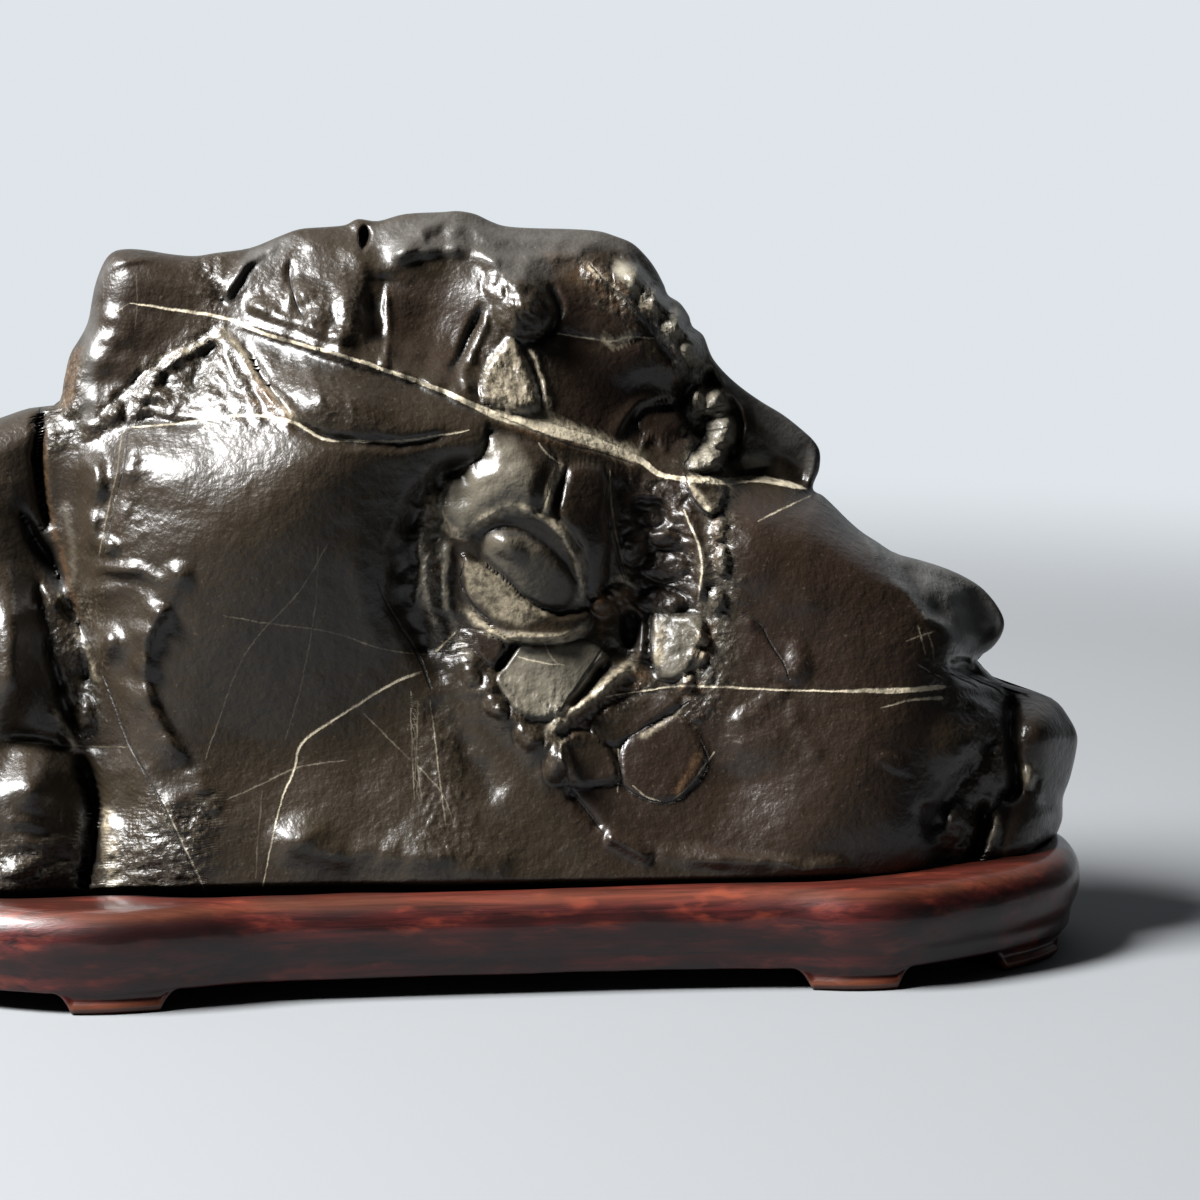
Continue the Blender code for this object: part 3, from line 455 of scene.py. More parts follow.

# Coloured places of the front: mask, outline (or an oval), softness in squares, strength; the darkest are
# painted shade, the grey ones partly painted sheen.
TINTS = [
    ("pale", (526, 566, 50, 26, 38), 7, 0.22),
    ("pale", [(520, 643), (592, 641), (609, 654), (585, 688), (558, 717), (540, 721), (505, 698),
              (497, 680), (504, 664)], 5, 0.6),
    ("pale", [(480, 440), (474, 462), (446, 484), (440, 502), (447, 522), (468, 532), (492, 513),
              (525, 508), (530, 470), (512, 440)], 9, 0.4),
    ("cream", [(463, 562), (484, 562), (506, 584), (530, 600), (548, 614), (520, 626), (494, 616),
               (474, 598)], 5, 0.5),
    ("cream", [(486, 360), (513, 341), (534, 370), (542, 396), (536, 408), (506, 408), (484, 398)],
     5, 0.4),
    ("cream", [(654, 620), (664, 618), (664, 662), (654, 664)], 4, 0.8),
    ("pale", [(664, 614), (706, 616), (700, 650), (680, 682), (660, 676)], 5, 0.35),
    ("cream", [(1014, 768), (1036, 766), (1034, 788), (1014, 784)], 5, 0.6),
    ("amber", [(583, 260), (652, 304), (652, 340), (638, 326), (590, 288)], 5, 0.45),
    ("pale", [(612, 258), (652, 276), (700, 318), (720, 370), (738, 410), (734, 450), (696, 474),
              (686, 462), (698, 420), (684, 366), (640, 310)], 6, 0.75),
    ("amber", [(655, 330), (684, 376), (690, 402), (678, 388), (660, 356)], 5, 0.5),
    ("pale", [(704, 500), (730, 500), (728, 640), (715, 700), (684, 700), (696, 640)], 7, 0.12),
    ("amber", (704, 646, 9, 22, 10), 4, 0.9), ("amber", (692, 688, 12, 9, 0), 4, 0.8),
    ("amber", (716, 540, 6, 26, 0), 5, 0.3),
    ("amber", [(592, 596), (636, 588), (640, 612), (612, 618), (600, 640)], 5, 0.8),
    ("amber", [(560, 716), (606, 690), (636, 655), (650, 676), (620, 700), (570, 740)], 6, 0.7),
    ("pale", [(424, 470), (450, 472), (440, 540), (440, 610), (420, 600)], 8, 0.5),
    ("amber", (430, 505, 8, 26, 0), 6, 0.5), ("amber", (436, 574, 6, 14, 0), 4, 0.6),
    ("amber", [(246, 366), (262, 380), (292, 410), (292, 430), (268, 414)], 5, 0.7),
    ("amber", [(240, 395), (290, 410), (288, 428), (262, 414)], 6, 0.4),
    ("amber", [(60, 372), (76, 350), (80, 350), (72, 400), (62, 410)], 5, 0.6),
    ("amber", [(545, 254), (600, 258), (586, 290), (560, 276)], 8, 0.3),
    ("brown", [(555, 278), (640, 320), (650, 370), (640, 400), (690, 440), (620, 440), (555, 420)],
     12, 0.9),
    ("brown", [(735, 495), (830, 510), (925, 611), (950, 690), (740, 690)], 14, 0.9),
    ("brown", [(700, 690), (945, 695), (930, 860), (600, 860), (560, 800), (660, 700)], 16, 0.8),
    ("brown", [(566, 464), (606, 468), (700, 480), (700, 600), (630, 610), (590, 600)], 8, 0.8),
    ("brown", [(95, 255), (215, 260), (218, 318), (165, 358), (92, 400)], 12, 0.4),
    ("brown", [(385, 280), (480, 280), (455, 380), (388, 358)], 10, 0.6),
    ("brown", [(1012, 690), (1080, 700), (1070, 870), (980, 876), (1000, 800)], 10, 0.5),
    ("brown", [(622, 746), (682, 716), (706, 765), (670, 802), (622, 780)], 5, 0.9),
    ("brown", [(470, 630), (508, 646), (494, 668), (470, 650)], 5, 0.7),
    # grey places: partly matt stone, partly painted sheen on top faces and crests that catch the light
    ("grey", [(862, 534), (925, 560), (985, 586), (1008, 620), (985, 652), (966, 652), (925, 611),
              (876, 556)], 5, 1.0),
    ("grey", [(712, 356), (820, 445), (820, 480), (735, 400)], 5, 0.6),
    ("grey", [(372, 226), (440, 206), (500, 218), (600, 226), (648, 254), (600, 252), (548, 280),
              (510, 280), (470, 256), (420, 252), (384, 270)], 9, 0.4),
    ("grey", [(218, 306), (250, 250), (290, 236), (292, 246), (258, 268), (232, 300)], 5, 0.6),
    ("grey", [(80, 330), (94, 280), (106, 262), (112, 266), (98, 300), (92, 420), (80, 430)], 6, 0.5),
    # darkest places: painted shade in the cleft, the gaps, the pits, the slit and on the hollow's shaded
    # wall
    ("painted_shade", [(14, 490), (30, 508), (56, 546), (70, 590), (62, 598), (34, 560), (16, 520)], 5, 0.9),
    ("painted_shade", [(80, 756), (96, 780), (98, 850), (88, 890), (80, 880), (86, 820)], 4, 0.95),
    ("brown", [(640, 402), (676, 400), (690, 420), (684, 448), (660, 452), (640, 436)], 8, 0.9),
    ("painted_shade", [(618, 614), (636, 608), (642, 624), (638, 646), (626, 652), (618, 636)], 4, 0.9),
    ("painted_shade", [(394, 556), (404, 524), (418, 504), (424, 520), (416, 590), (424, 650), (404, 620),
               (394, 590)], 12, 0.35),
    ("painted_shade", [(1006, 700), (1014, 700), (1018, 786), (1006, 786)], 3, 0.95),
    ("painted_shade", [(924, 790), (950, 780), (950, 830), (940, 870), (926, 850)], 8, 0.6),
    ("painted_shade", [(512, 640), (522, 642), (508, 668), (495, 672), (500, 656)], 3, 0.6),
    ("painted_shade", [(616, 480), (672, 484), (680, 530), (632, 534)], 10, 0.2),
]

# Soft painted lines of the front: mask, stations, half-width in squares, strength; the dark ones are
# painted shade, the grey ones and two cream ones painted highlights.
STROKES = [
    ("pale", [(612, 264), (640, 284), (664, 308), (686, 336), (700, 362)], 6, 0.7),
    ("pale", [(706, 390), (720, 400), (728, 420), (724, 444), (706, 466)], 9, 0.9),
    ("cream", [(630, 270), (650, 288), (672, 314), (692, 344)], 3, 0.4),
    ("cream", [(690, 396), (700, 392), (714, 396)], 4, 0.5),
    ("brown", [(128, 452), (126, 500), (112, 548)], 4, 0.5),
    ("pale", [(448, 540), (444, 580), (452, 624), (470, 660)], 4, 0.45),
    ("pale", [(430, 540), (430, 580), (438, 630)], 4, 0.35),
    ("cream", [(440, 482), (438, 510), (446, 526), (464, 534), (482, 520), (500, 512), (520, 510),
               (545, 516), (564, 532), (577, 552), (582, 574), (580, 596), (572, 610)], 4.5, 0.65),
    ("cream", [(562, 462), (554, 480), (549, 498), (544, 516)], 4, 0.75),
    ("cream", [(464, 606), (480, 624), (500, 634), (530, 638), (562, 638), (588, 628)], 4.5, 0.85),
    ("cream", [(636, 660), (614, 678), (592, 696), (566, 716), (546, 734)], 6, 0.8),
    ("cream", [(484, 440), (478, 454), (462, 466), (446, 476)], 2.5, 0.5),
    ("cream", [(492, 408), (520, 418), (560, 430), (600, 443), (640, 458)], 8, 0.9),
    ("cream", [(500, 400), (520, 398), (540, 408), (556, 420)], 4, 0.5),
    ("amber", [(500, 420), (560, 440), (600, 450), (640, 464)], 5, 0.6),
    ("cream", [(528, 348), (538, 368), (546, 392), (549, 408)], 3.5, 0.6),
    ("cream", [(686, 478), (700, 496), (712, 512), (722, 506)], 3, 0.8),
    ("cream", [(690, 478), (722, 482), (724, 500)], 5, 0.5),
    ("cream", [(600, 338), (616, 342), (634, 334)], 3.5, 0.7),
    ("cream", [(586, 262), (604, 280), (628, 302), (648, 324)], 2.5, 0.6),
    ("cream", [(612, 584), (622, 578), (628, 588)], 3.5, 0.9),
    ("cream", [(698, 636), (700, 658), (688, 680)], 4.5, 0.7),
    ("cream", [(60, 590), (76, 622), (90, 660), (96, 684)], 2.5, 0.5),
    ("amber", [(44, 430), (45, 470), (51, 515), (62, 560), (72, 596), (84, 640)], 3, 0.5),
    ("cream", [(56, 706), (64, 728), (76, 752)], 2.5, 0.6),
    ("pale", [(68, 498), (71, 540), (75, 588)], 2.5, 0.12),
    ("cream", [(105, 806), (108, 850), (112, 898)], 5, 0.55),
    ("cream", [(268, 384), (284, 406), (296, 426)], 3, 0.5),
    ("cream", [(228, 330), (244, 358), (262, 384)], 3, 0.35),
    # grey lines: painted highlights along the lit crests of the nose and the back ridge
    ("grey", [(816, 494), (850, 522), (880, 556), (905, 586), (925, 611), (950, 631), (964, 650)],
     3, 0.9),
    ("grey", [(712, 358), (742, 388), (782, 416), (812, 442), (817, 470)], 4, 0.8),
    ("cream", [(640, 740), (662, 724), (684, 708)], 2.5, 0.5),
    ("amber", [(700, 752), (688, 776), (676, 798)], 3, 0.6),
    # painted highlight on the lit left edge of a plate
    ("cream", [(560, 738), (566, 760), (574, 782)], 3, 0.4),
    ("cream", [(150, 366), (180, 352), (206, 340), (230, 328)], 4, 0.3),
    # painted highlight on the lit left edge of the lower right lobe
    ("cream", [(992, 808), (994, 828), (986, 850), (974, 872)], 3, 0.35),
    # dark lines: painted shade under overhanging edges and along the rims of the hollow
    ("painted_shade", [(486, 418), (485, 438), (474, 454), (452, 463), (430, 473), (414, 489)], 4, 0.6),
    ("painted_shade", [(1012, 694), (1010, 740), (1014, 784)], 3.5, 0.9),
    ("painted_shade", [(330, 352), (380, 372), (440, 396), (484, 414)], 3.5, 0.45),
    ("painted_shade", [(248, 342), (290, 352), (330, 366)], 4, 0.5),
    ("painted_shade", [(548, 284), (558, 302), (558, 318), (548, 334), (534, 343)], 3, 0.7),
    ("painted_shade", [(482, 302), (470, 330), (460, 352), (450, 374)], 2.5, 0.8),
    ("painted_shade", [(650, 322), (664, 344), (680, 372), (690, 398)], 3, 0.6),
    ("painted_shade", [(500, 534), (530, 536), (554, 550), (570, 570), (575, 592), (568, 608)], 2.5, 0.8),
    ("painted_shade", [(484, 552), (504, 576), (530, 597), (552, 610), (568, 612)], 2, 0.7),
    ("painted_shade", [(434, 690), (452, 724), (472, 758), (492, 796), (512, 820)], 8, 0.2),
]

# Calcite veins, hairlines (sets 0 to 3) and dark cracks whose darkness is painted shade (4 and 5): set,
# stations, half-widths, strength.
VEINS = [
    (0, [(128, 303), (165, 308), (225, 318), (260, 332), (300, 344), (350, 358), (400, 375),
         (445, 392), (490, 413), (520, 421), (560, 432), (600, 444), (640, 460), (665, 476),
         (725, 481), (760, 479), (808, 489)],
     [0.8, 1.1, 1.5, 1.6, 1.5, 1.6, 1.8, 2.0, 2.6, 4.5, 5.5, 5.0, 3.0, 2.2, 3.0, 3.4, 2.4], 1.0),
    (1, [(106, 318), (118, 310), (130, 303)], [0.4, 0.6, 0.4], 0.3),
    (1, [(130, 427), (170, 424), (205, 420), (250, 415), (290, 421), (310, 431), (330, 440),
         (400, 441), (430, 437), (470, 430)], [0.6, 0.8, 1.2, 1.3, 1.4, 1.5, 1.2, 1.1, 0.8, 0.5], 0.75),
    (0, [(555, 333), (610, 341), (625, 337), (655, 338)], [0.5, 0.9, 1.0, 0.5], 0.6),
    (1, [(812, 495), (775, 512), (757, 522)], [0.6, 0.8, 0.6], 0.6),
    (0, [(605, 697), (660, 688), (700, 686), (790, 690), (850, 691), (905, 690), (948, 687)],
     [0.5, 0.8, 1.0, 0.8, 0.8, 2.8, 2.4], 0.95),
    (1, [(880, 708), (912, 700), (945, 698)], [0.5, 1.0, 1.8], 0.6),
    (1, [(609, 468), (612, 510), (620, 552), (628, 582)], [0.6, 0.8, 0.7, 0.6], 0.45),
    (1, [(222, 615), (270, 624), (330, 632), (385, 650), (430, 655)], [0.4, 0.5, 0.6, 0.6, 0.5], 0.2),
    (2, [(318, 545), (316, 600), (310, 640), (300, 690), (285, 740)], [0.4, 0.5, 0.5, 0.5, 0.4], 0.14),
    (3, [(330, 540), (300, 590), (255, 640), (235, 675), (205, 760)], [0.4, 0.6, 0.6, 0.5, 0.4], 0.17),
    (0, [(424, 671), (395, 682), (360, 703), (330, 722), (300, 745), (295, 768), (280, 805),
         (262, 890)], [1.2, 1.2, 1.1, 1.1, 1.0, 0.7, 0.6, 0.5], 0.7),
    (2, [(225, 800), (262, 784), (290, 770), (320, 763), (350, 760)], [0.5, 0.6, 0.6, 0.5, 0.4], 0.2),
    (3, [(262, 790), (258, 840), (255, 880)], [0.5, 0.6, 0.5], 0.15),
    (2, [(360, 710), (385, 735), (405, 755), (440, 790), (455, 830)], [0.5, 0.6, 0.6, 0.6, 0.5], 0.18),
    (3, [(418, 700), (417, 760), (422, 800)], [0.5, 0.6, 0.5], 0.15),
    (1, [(433, 655), (455, 632)], [0.9, 0.7], 0.7),
    (4, [(100, 666), (113, 700), (130, 745), (165, 810), (205, 895)], [0.5, 0.9, 0.9, 1.0, 0.8], 0.8),
    (2, [(162, 798), (184, 846), (208, 896)], [0.4, 0.8, 0.8], 0.4),
    (3, [(0, 740), (75, 746), (135, 747)], [0.6, 0.7, 0.5], 0.18),
    (1, [(905, 641), (920, 636), (938, 630)], [0.5, 0.8, 0.5], 0.25),
    (3, [(917, 622), (922, 640), (926, 657)], [0.5, 0.9, 0.5], 0.35),
    (2, [(927, 630), (932, 645), (934, 662)], [0.5, 0.9, 0.5], 0.25),
    (2, [(715, 750), (690, 785), (672, 800)], [0.6, 0.8, 0.5], 0.45),
    (3, [(632, 785), (645, 796), (662, 802)], [0.6, 0.8, 0.6], 0.6),
    (1, [(618, 748), (619, 770), (618, 792)], [0.6, 0.8, 0.6], 0.6),
    (2, [(683, 508), (701, 555), (698, 602)], [0.7, 1.0, 0.7], 0.6),
    (2, [(516, 656), (540, 662), (566, 665)], [0.6, 0.8, 0.5], 0.7),
    (3, [(544, 642), (549, 654), (558, 664)], [0.6, 0.8, 0.5], 0.7),
    (1, [(136, 272), (137, 300), (135, 332)], [0.4, 0.5, 0.4], 0.1),
    (1, [(203, 424), (222, 444), (238, 466)], [0.5, 0.6, 0.4], 0.4),
    (2, [(122, 432), (117, 470), (107, 515), (99, 556)], [0.4, 0.6, 0.6, 0.4], 0.15),
    (5, [(128, 432), (123, 470), (113, 515), (104, 556)], [0.6, 0.9, 0.9, 0.6], 0.6),
    (3, [(410, 690), (412, 740), (414, 800)], [0.4, 0.5, 0.4], 0.3),
    (1, [(430, 700), (436, 750), (446, 830)], [0.4, 0.6, 0.4], 0.3),
    (1, [(538, 442), (548, 454), (560, 464)], [0.6, 0.9, 0.6], 0.7),
    (4, [(42, 402), (38, 440), (40, 480), (48, 532)], [1.6, 1.8, 1.8, 2.2], 1.0),
    (4, [(290, 258), (291, 284), (298, 306), (306, 322)], [0.7, 0.9, 0.9, 0.6], 0.8),
    (4, [(432, 690), (418, 655), (400, 626), (386, 603), (377, 580)], [1.0, 1.4, 1.4, 1.2, 1.0], 0.7),
    (4, [(588, 262), (608, 284), (634, 308), (654, 330), (664, 350)], [0.8, 1.0, 1.2, 1.2, 0.8], 0.7),
    (5, [(620, 742), (646, 727), (668, 718), (690, 700)], [0.7, 0.9, 0.9, 0.6], 0.7),
    (4, [(566, 786), (590, 788), (618, 784), (640, 797), (668, 803), (692, 788), (708, 764),
         (700, 738)], [0.7, 0.8, 0.8, 0.9, 0.9, 0.9, 0.8, 0.6], 0.7),
    (5, [(570, 788), (588, 812), (606, 836)], [1.0, 1.4, 0.8], 0.8),
    (5, [(616, 750), (620, 768), (618, 784)], [0.7, 0.8, 0.6], 0.7),
    (4, [(740, 612), (760, 624), (770, 642), (784, 664), (790, 682)], [0.7, 1.0, 1.0, 0.9, 0.6], 0.7),
    (5, [(1014, 690), (1010, 724), (1012, 756), (1018, 784), (1000, 802), (984, 824), (966, 876)],
     [1.0, 2.0, 2.0, 1.6, 1.4, 1.8, 2.0], 1.0),
    (4, [(948, 668), (966, 672), (990, 684), (1010, 690)], [1.0, 1.6, 1.2, 0.8], 0.8),
    (4, [(520, 346), (532, 368), (541, 392), (541, 410)], [0.8, 1.2, 1.2, 0.8], 0.8),
    (5, [(608, 640), (590, 668), (572, 694), (560, 712)], [0.8, 1.4, 1.4, 0.8], 0.8),
    (5, [(464, 562), (462, 584), (474, 606), (492, 622)], [0.8, 1.2, 1.0, 0.7], 0.8),
    (4, [(604, 482), (606, 500), (612, 540), (624, 580)], [0.3, 0.8, 0.9, 0.7], 0.6),
    (5, [(652, 612), (650, 640), (654, 672)], [0.8, 1.2, 0.8], 0.8),
    (4, [(686, 474), (690, 494), (704, 512), (722, 516)], [0.8, 1.1, 1.1, 0.8], 0.8),
    (4, [(640, 590), (662, 586), (686, 594), (690, 606)], [0.7, 1.0, 0.9, 0.6], 0.7),
    (5, [(700, 384), (692, 396), (690, 420), (694, 446), (684, 466)], [0.8, 1.2, 1.2, 1.2, 0.8], 0.8),
    (5, [(696, 412), (712, 408), (726, 404)], [0.7, 0.9, 0.7], 0.7),
    (5, [(698, 434), (714, 430), (728, 428)], [0.7, 0.9, 0.7], 0.7),
    (5, [(656, 300), (662, 312), (676, 314)], [0.7, 0.9, 0.7], 0.7),
    (4, [(500, 416), (560, 442), (600, 453), (634, 464)], [0.5, 1.2, 1.2, 0.8], 0.6),
]

# Swells of the back: station, half-widths, tilt in degrees, millimetres away from the viewer.
BACK_SWELLS = [
    (150, 560, 150, 240, 10, 9), (420, 400, 210, 130, -8, 8), (640, 660, 190, 170, 20, 8),
    (900, 740, 130, 110, 0, 7), (0, 700, 90, 150, 0, 10), (330, 760, 150, 110, 0, 7),
]
# Relief of the back, away from the viewer.
BACK_RELIEF = [
    ("groove", [(60, 400), (76, 560), (62, 700), (90, 880)], -5, 16),
    ("groove", [(300, 230), (330, 380), (290, 520), (360, 700), (340, 890)], -4, 16),
    ("groove", [(600, 240), (560, 420), (640, 560), (780, 640), (1000, 690)], -4, 16),
    ("scarp", [(120, 330), (260, 380), (420, 390), (560, 430)], 3, 6, 60),
    ("scarp", [(640, 600), (560, 700), (420, 760), (300, 800)], 3.5, 6, 70),
    ("crack", [(420, 230), (470, 340), (440, 460), (500, 600), (470, 760), (520, 890)], -1.2, 3),
    ("crack", [(40, 640), (160, 620), (280, 660), (330, 650)], -1.0, 3),
    ("crack", [(700, 420), (660, 520), (720, 640), (690, 780), (760, 880)], -1.2, 3),
    ("lump", (250, 560, 60, 44, 20), 3.0), ("lump", (820, 620, 54, 40, 15), 3.0),
    ("dome", (520, 540, 80, 60, -20), 3.5), ("dome", (130, 760, 70, 60, 0), 4.0),
    ("pit", [(380, 560), (420, 540), (450, 570), (440, 620), (400, 640), (376, 610)], -4, 14),
    ("pit", [(700, 700), (740, 690), (770, 720), (760, 760), (716, 764), (694, 736)], -4, 14),
]
BACK_RUGGED = [
    ([(300, 520), (400, 500), (480, 560), (470, 660), (380, 700), (310, 640)], 1.0, 26, 0.6),
    ([(640, 660), (760, 650), (820, 740), (760, 820), (660, 790)], 1.0, 24, 0.6),
    ([(40, 420), (110, 420), (110, 600), (60, 640)], 0.8, 20, 0.6),
    ([(500, 250), (620, 250), (620, 360), (540, 380)], 0.8, 22, 0.5),
]
BACK_TINTS = [
    ("brown", [(420, 260), (640, 260), (700, 520), (560, 620), (430, 480)], 30, 0.7),
    ("brown", [(700, 560), (1000, 620), (1040, 860), (760, 860)], 30, 0.6),
    ("pale", [(380, 540), (450, 550), (450, 630), (390, 640)], 10, 0.6),
    ("pale", [(700, 690), (768, 700), (764, 764), (704, 760)], 10, 0.6),
]
BACK_VEINS = [
    (0, [(108, 318), (240, 360), (380, 390), (520, 440), (660, 470), (805, 488)],
     [1.0, 1.8, 2.6, 3.4, 3.0, 1.8], 0.9),
    (1, [(-90, 560), (80, 600), (300, 590), (520, 640), (760, 650), (960, 600)],
     [0.8, 1.2, 1.4, 1.2, 1.2, 0.8], 0.7),
    (2, [(180, 260), (240, 480), (200, 700), (240, 890)], [0.8, 1.0, 0.9, 0.7], 0.5),
    (3, [(880, 560), (840, 700), (900, 880)], [0.8, 1.0, 0.8], 0.5),
    (2, [(560, 500), (700, 560), (860, 560)], [0.7, 0.9, 0.6], 0.5),
]

# Widest line of the stand in plan, counter-clockwise from the front, in millimetres.
STAND_PLAN = [
    (-66, -72.5), (-35, -71), (5, -70.5), (50, -70.5), (85, -72.5), (106, -76.5), (122, -75),
    (140, -67), (157, -57), (171, -45), (180, -31), (184.5, -13), (183.5, 5), (176, 27), (161, 47),
    (138, 64), (112, 74), (85, 72), (50, 68), (0, 67), (-50, 68), (-85, 74), (-112, 81), (-138, 74),
    (-158, 58), (-173, 37), (-182, 14), (-184.5, -8), (-181, -30), (-170, -52), (-152, -68),
    (-130, -78), (-110, -81), (-90, -78),
]
# Section of the stand's face: height, then inset from the widest line, in millimetres.
FACE_SECTION = [(7.0, 2.9), (8.6, 2.7), (11.0, 2.4), (13.5, 1.4), (16.0, 0.6), (19.0, 0.05),
                (22.0, 0.1), (24.5, 0.7), (26.8, 2.0), (28.4, 3.5), (29.4, 5.0), (29.9, 6.4),
                (30.0, 7.4)]
# Lower edge: height and inset between the feet, then height and inset on a foot.
LOWER_EDGE = [(6.0, 6.4, 0.0, 5.4), (6.0, 5.4, 0.1, 4.4), (6.05, 4.6, 0.5, 3.5), (6.15, 4.0, 1.3, 2.9),
              (6.3, 3.6, 2.2, 2.8), (6.5, 3.3, 3.0, 3.3), (6.65, 3.1, 3.7, 4.0), (6.8, 3.0, 4.8, 4.1),
              (6.9, 2.95, 6.0, 3.5)]
# Underside, from the feet's outer edge inwards: height and inset on a foot, inset elsewhere.
UNDERSIDE = [(0.0, 8.0, 8.0), (0.0, 22.0, 14.0), (0.4, 23.6, 18.0), (3.0, 24.6, 21.0),
             (6.0, 26.0, 25.0)]
# Feet: middle of each foot in plan, in millimetres.
FEET = [(-108, -67.0), (108, -62.5), (162, -43.0), (-163, -45.0), (108, 62.0), (-110, 66.5)]
FOOT_HALF = 13.4
FOOT_BRACKET = 6.0
BRACKET_POWER = 2.2
UNDERSIDE_INSET = 26
APRON_BOTTOM = 6.0
STAND_TOP = 30.0
# Rim: share of the way from the face's top to the stone, and the drop there.
RIM_ROLL = [(0.4, 0.0), (0.85, 0.05), (1.0, 0.4), (1.0, 2.0)]
RIM_LEFT = 1.2
# Heights between which the stone is measured for the recess, and the bearings it is measured on.
RIM_BAND = (24, 33)
BEARINGS = 240
RECESS_GAP = 0.9
RECESS_DRAFT = 0.985
RECESS_STEP = 8.0
RECESS_FLOOR = 13.0
# Rubbed edges, which also carry a painted highlight: height and half-width.
RIM_EDGE = 28.4
RIM_EDGE_RUN = 1.6
FOOT_EDGE = 1.8
FOOT_EDGE_RUN = 1.4


def linear(code):
    """Linear scene colour of an sRGB hex code."""
    parts = [int(code[i:i + 2], 16) / 255 for i in (1, 3, 5)]
    return tuple(p / 12.92 if p <= 0.04045 else ((p + 0.055) / 1.055) ** 2.4 for p in parts)


def rgba(colour):
    return (*colour, 1.0)


# ---- numbers on the sheet ----
def ease(x):
    """Smooth step from 0 at 0 to 1 at 1."""
    x = np.clip(x, 0, 1)
    return x * x * (3 - 2 * x)


def round_over(share):
    """Quarter circle: 0 with a steep start at 0, level at 1."""
    return np.sqrt(np.clip(1 - (1 - np.clip(share, 0, 1)) ** 2, 0, 1))


def smooth_line(points, closed=False, per=5):
    """Catmull-Rom line through the stations."""
    p = np.array(points, float)
    n = len(p)
    out = []
    for i in range(n if closed else n - 1):
        b, c = p[i], p[(i + 1) % n]
        a = p[(i - 1) % n] if closed or i > 0 else 2 * b - c
        d = p[(i + 2) % n] if closed or i + 2 < n else 2 * c - b
        for k in range(per):
            t = k / per
            out.append(0.5 * (2 * b + (c - a) * t + (2 * a - 5 * b + 4 * c - d) * t * t
                              + (3 * b - a - 3 * c + d) * t ** 3))
    if not closed:
        out.append(p[-1])
    return np.array(out)


def along(u, v, line):
    """Distance from a line (positive on its right-hand side) and the share of its length passed."""
    piece = np.hypot(*(line[1:] - line[:-1]).T)
    run = np.concatenate([[0.0], np.cumsum(piece)])
    best = np.full(u.shape, np.inf)
    side = np.ones(u.shape)
    share = np.zeros(u.shape)
    for i, (p, q) in enumerate(zip(line[:-1], line[1:])):
        dx, dy = q - p
        t = np.clip(((u - p[0]) * dx + (v - p[1]) * dy) / (dx * dx + dy * dy), 0, 1)
        d2 = (u - p[0] - t * dx) ** 2 + (v - p[1] - t * dy) ** 2
        near = d2 < best
        best = np.where(near, d2, best)
        side = np.where(near, np.where(dx * (v - p[1]) >= dy * (u - p[0]), 1.0, -1.0), side)
        share = np.where(near, (run[i] + t * piece[i]) / run[-1], share)
    return np.sqrt(best) * side, share


def depth_inside(u, v, outline):
    """Distance from a closed outline, positive inside it."""
    line = np.vstack([outline, outline[:1]])
    inside = np.zeros(u.shape, bool)
    for (x0, y0), (x1, y1) in zip(line[:-1], line[1:]):
        if y0 != y1:
            inside ^= ((y0 > v) != (y1 > v)) & (u < (x1 - x0) * (v - y0) / (y1 - y0) + x0)
    far, _ = along(u, v, line)
    return np.where(inside, np.abs(far), -np.abs(far))


def oval_reach(u, v, oval):
    """0 at the middle of an oval (middle, half-axes, tilt in degrees) and 1 on its edge."""
    cu, cv, ru, rv, tilt = oval
    c, s = math.cos(math.radians(tilt)), math.sin(math.radians(tilt))
    return np.hypot(((u - cu) * c + (v - cv) * s) / ru, (-(u - cu) * s + (v - cv) * c) / rv)


def near_box(u, v, points, margin):
    """Which stations lie in the box around some points, widened by a margin."""
    p = np.array(points, float)
    lo, hi = p.min(0) - margin, p.max(0) + margin
    return (u > lo[0]) & (u < hi[0]) & (v > lo[1]) & (v < hi[1])


def ripples(x, y, seed):
    """Gradient noise on a unit lattice, about -1 to 1."""
    turn = np.random.default_rng(seed).uniform(0, 2 * math.pi, (LATTICE, LATTICE))
    i, j = np.floor(x).astype(int), np.floor(y).astype(int)
    fx, fy = x - i, y - j

    def corner(di, dj):
        t = turn[(i + di) % LATTICE, (j + dj) % LATTICE]
        return np.cos(t) * (fx - di) + np.sin(t) * (fy - dj)

    sx, sy = (f ** 3 * (f * (6 * f - 15) + 10) for f in (fx, fy))
    top = corner(0, 0) + sx * (corner(1, 0) - corner(0, 0))
    low = corner(0, 1) + sx * (corner(1, 1) - corner(0, 1))
    return RIPPLE_GAIN * (top + sy * (low - top))


def sway(u, v, *steps):
    """Shift stations along smooth ripples; each step is a size, a wavelength and a seed."""
    du, dv = (sum(size * ripples(u / wave, v / wave, seed + k) for size, wave, seed in steps)
              for k in (0, 1))
    return u + du, v + dv


def rugged(u, v, wave, seed, layers=3, folded=False):
    """Ripples of falling size; folded ones have sharp creases."""
    total = np.zeros(u.shape)
    for k in range(layers):
        turn = LAYER_TURN * k + seed
        c, s = math.cos(turn), math.sin(turn)
        n = ripples((u * c - v * s) / wave * 2 ** k, (u * s + v * c) / wave * 2 ** k, seed + k)
        total += (2 * np.abs(n) - FOLD_MEAN if folded else n) * 0.5 ** k
    return total


def soften(grid, cells):
    """Blur a grid over a few cells."""
    for axis in (0, 1, 0, 1):
        pad = [(cells, cells) if a == axis else (0, 0) for a in (0, 1)]
        wide = np.pad(grid, pad, mode="edge")
        size = grid.shape[axis]
        grid = sum(np.take(wide, range(k, k + size), axis) for k in range(2 * cells + 1))
        grid = grid / (2 * cells + 1)
    return grid


def sunk(grid, cells, depth):
    """Share of a depth by which each cell lies under its blurred surroundings."""
    return np.clip((soften(grid, cells) - grid) / depth, 0, 1)


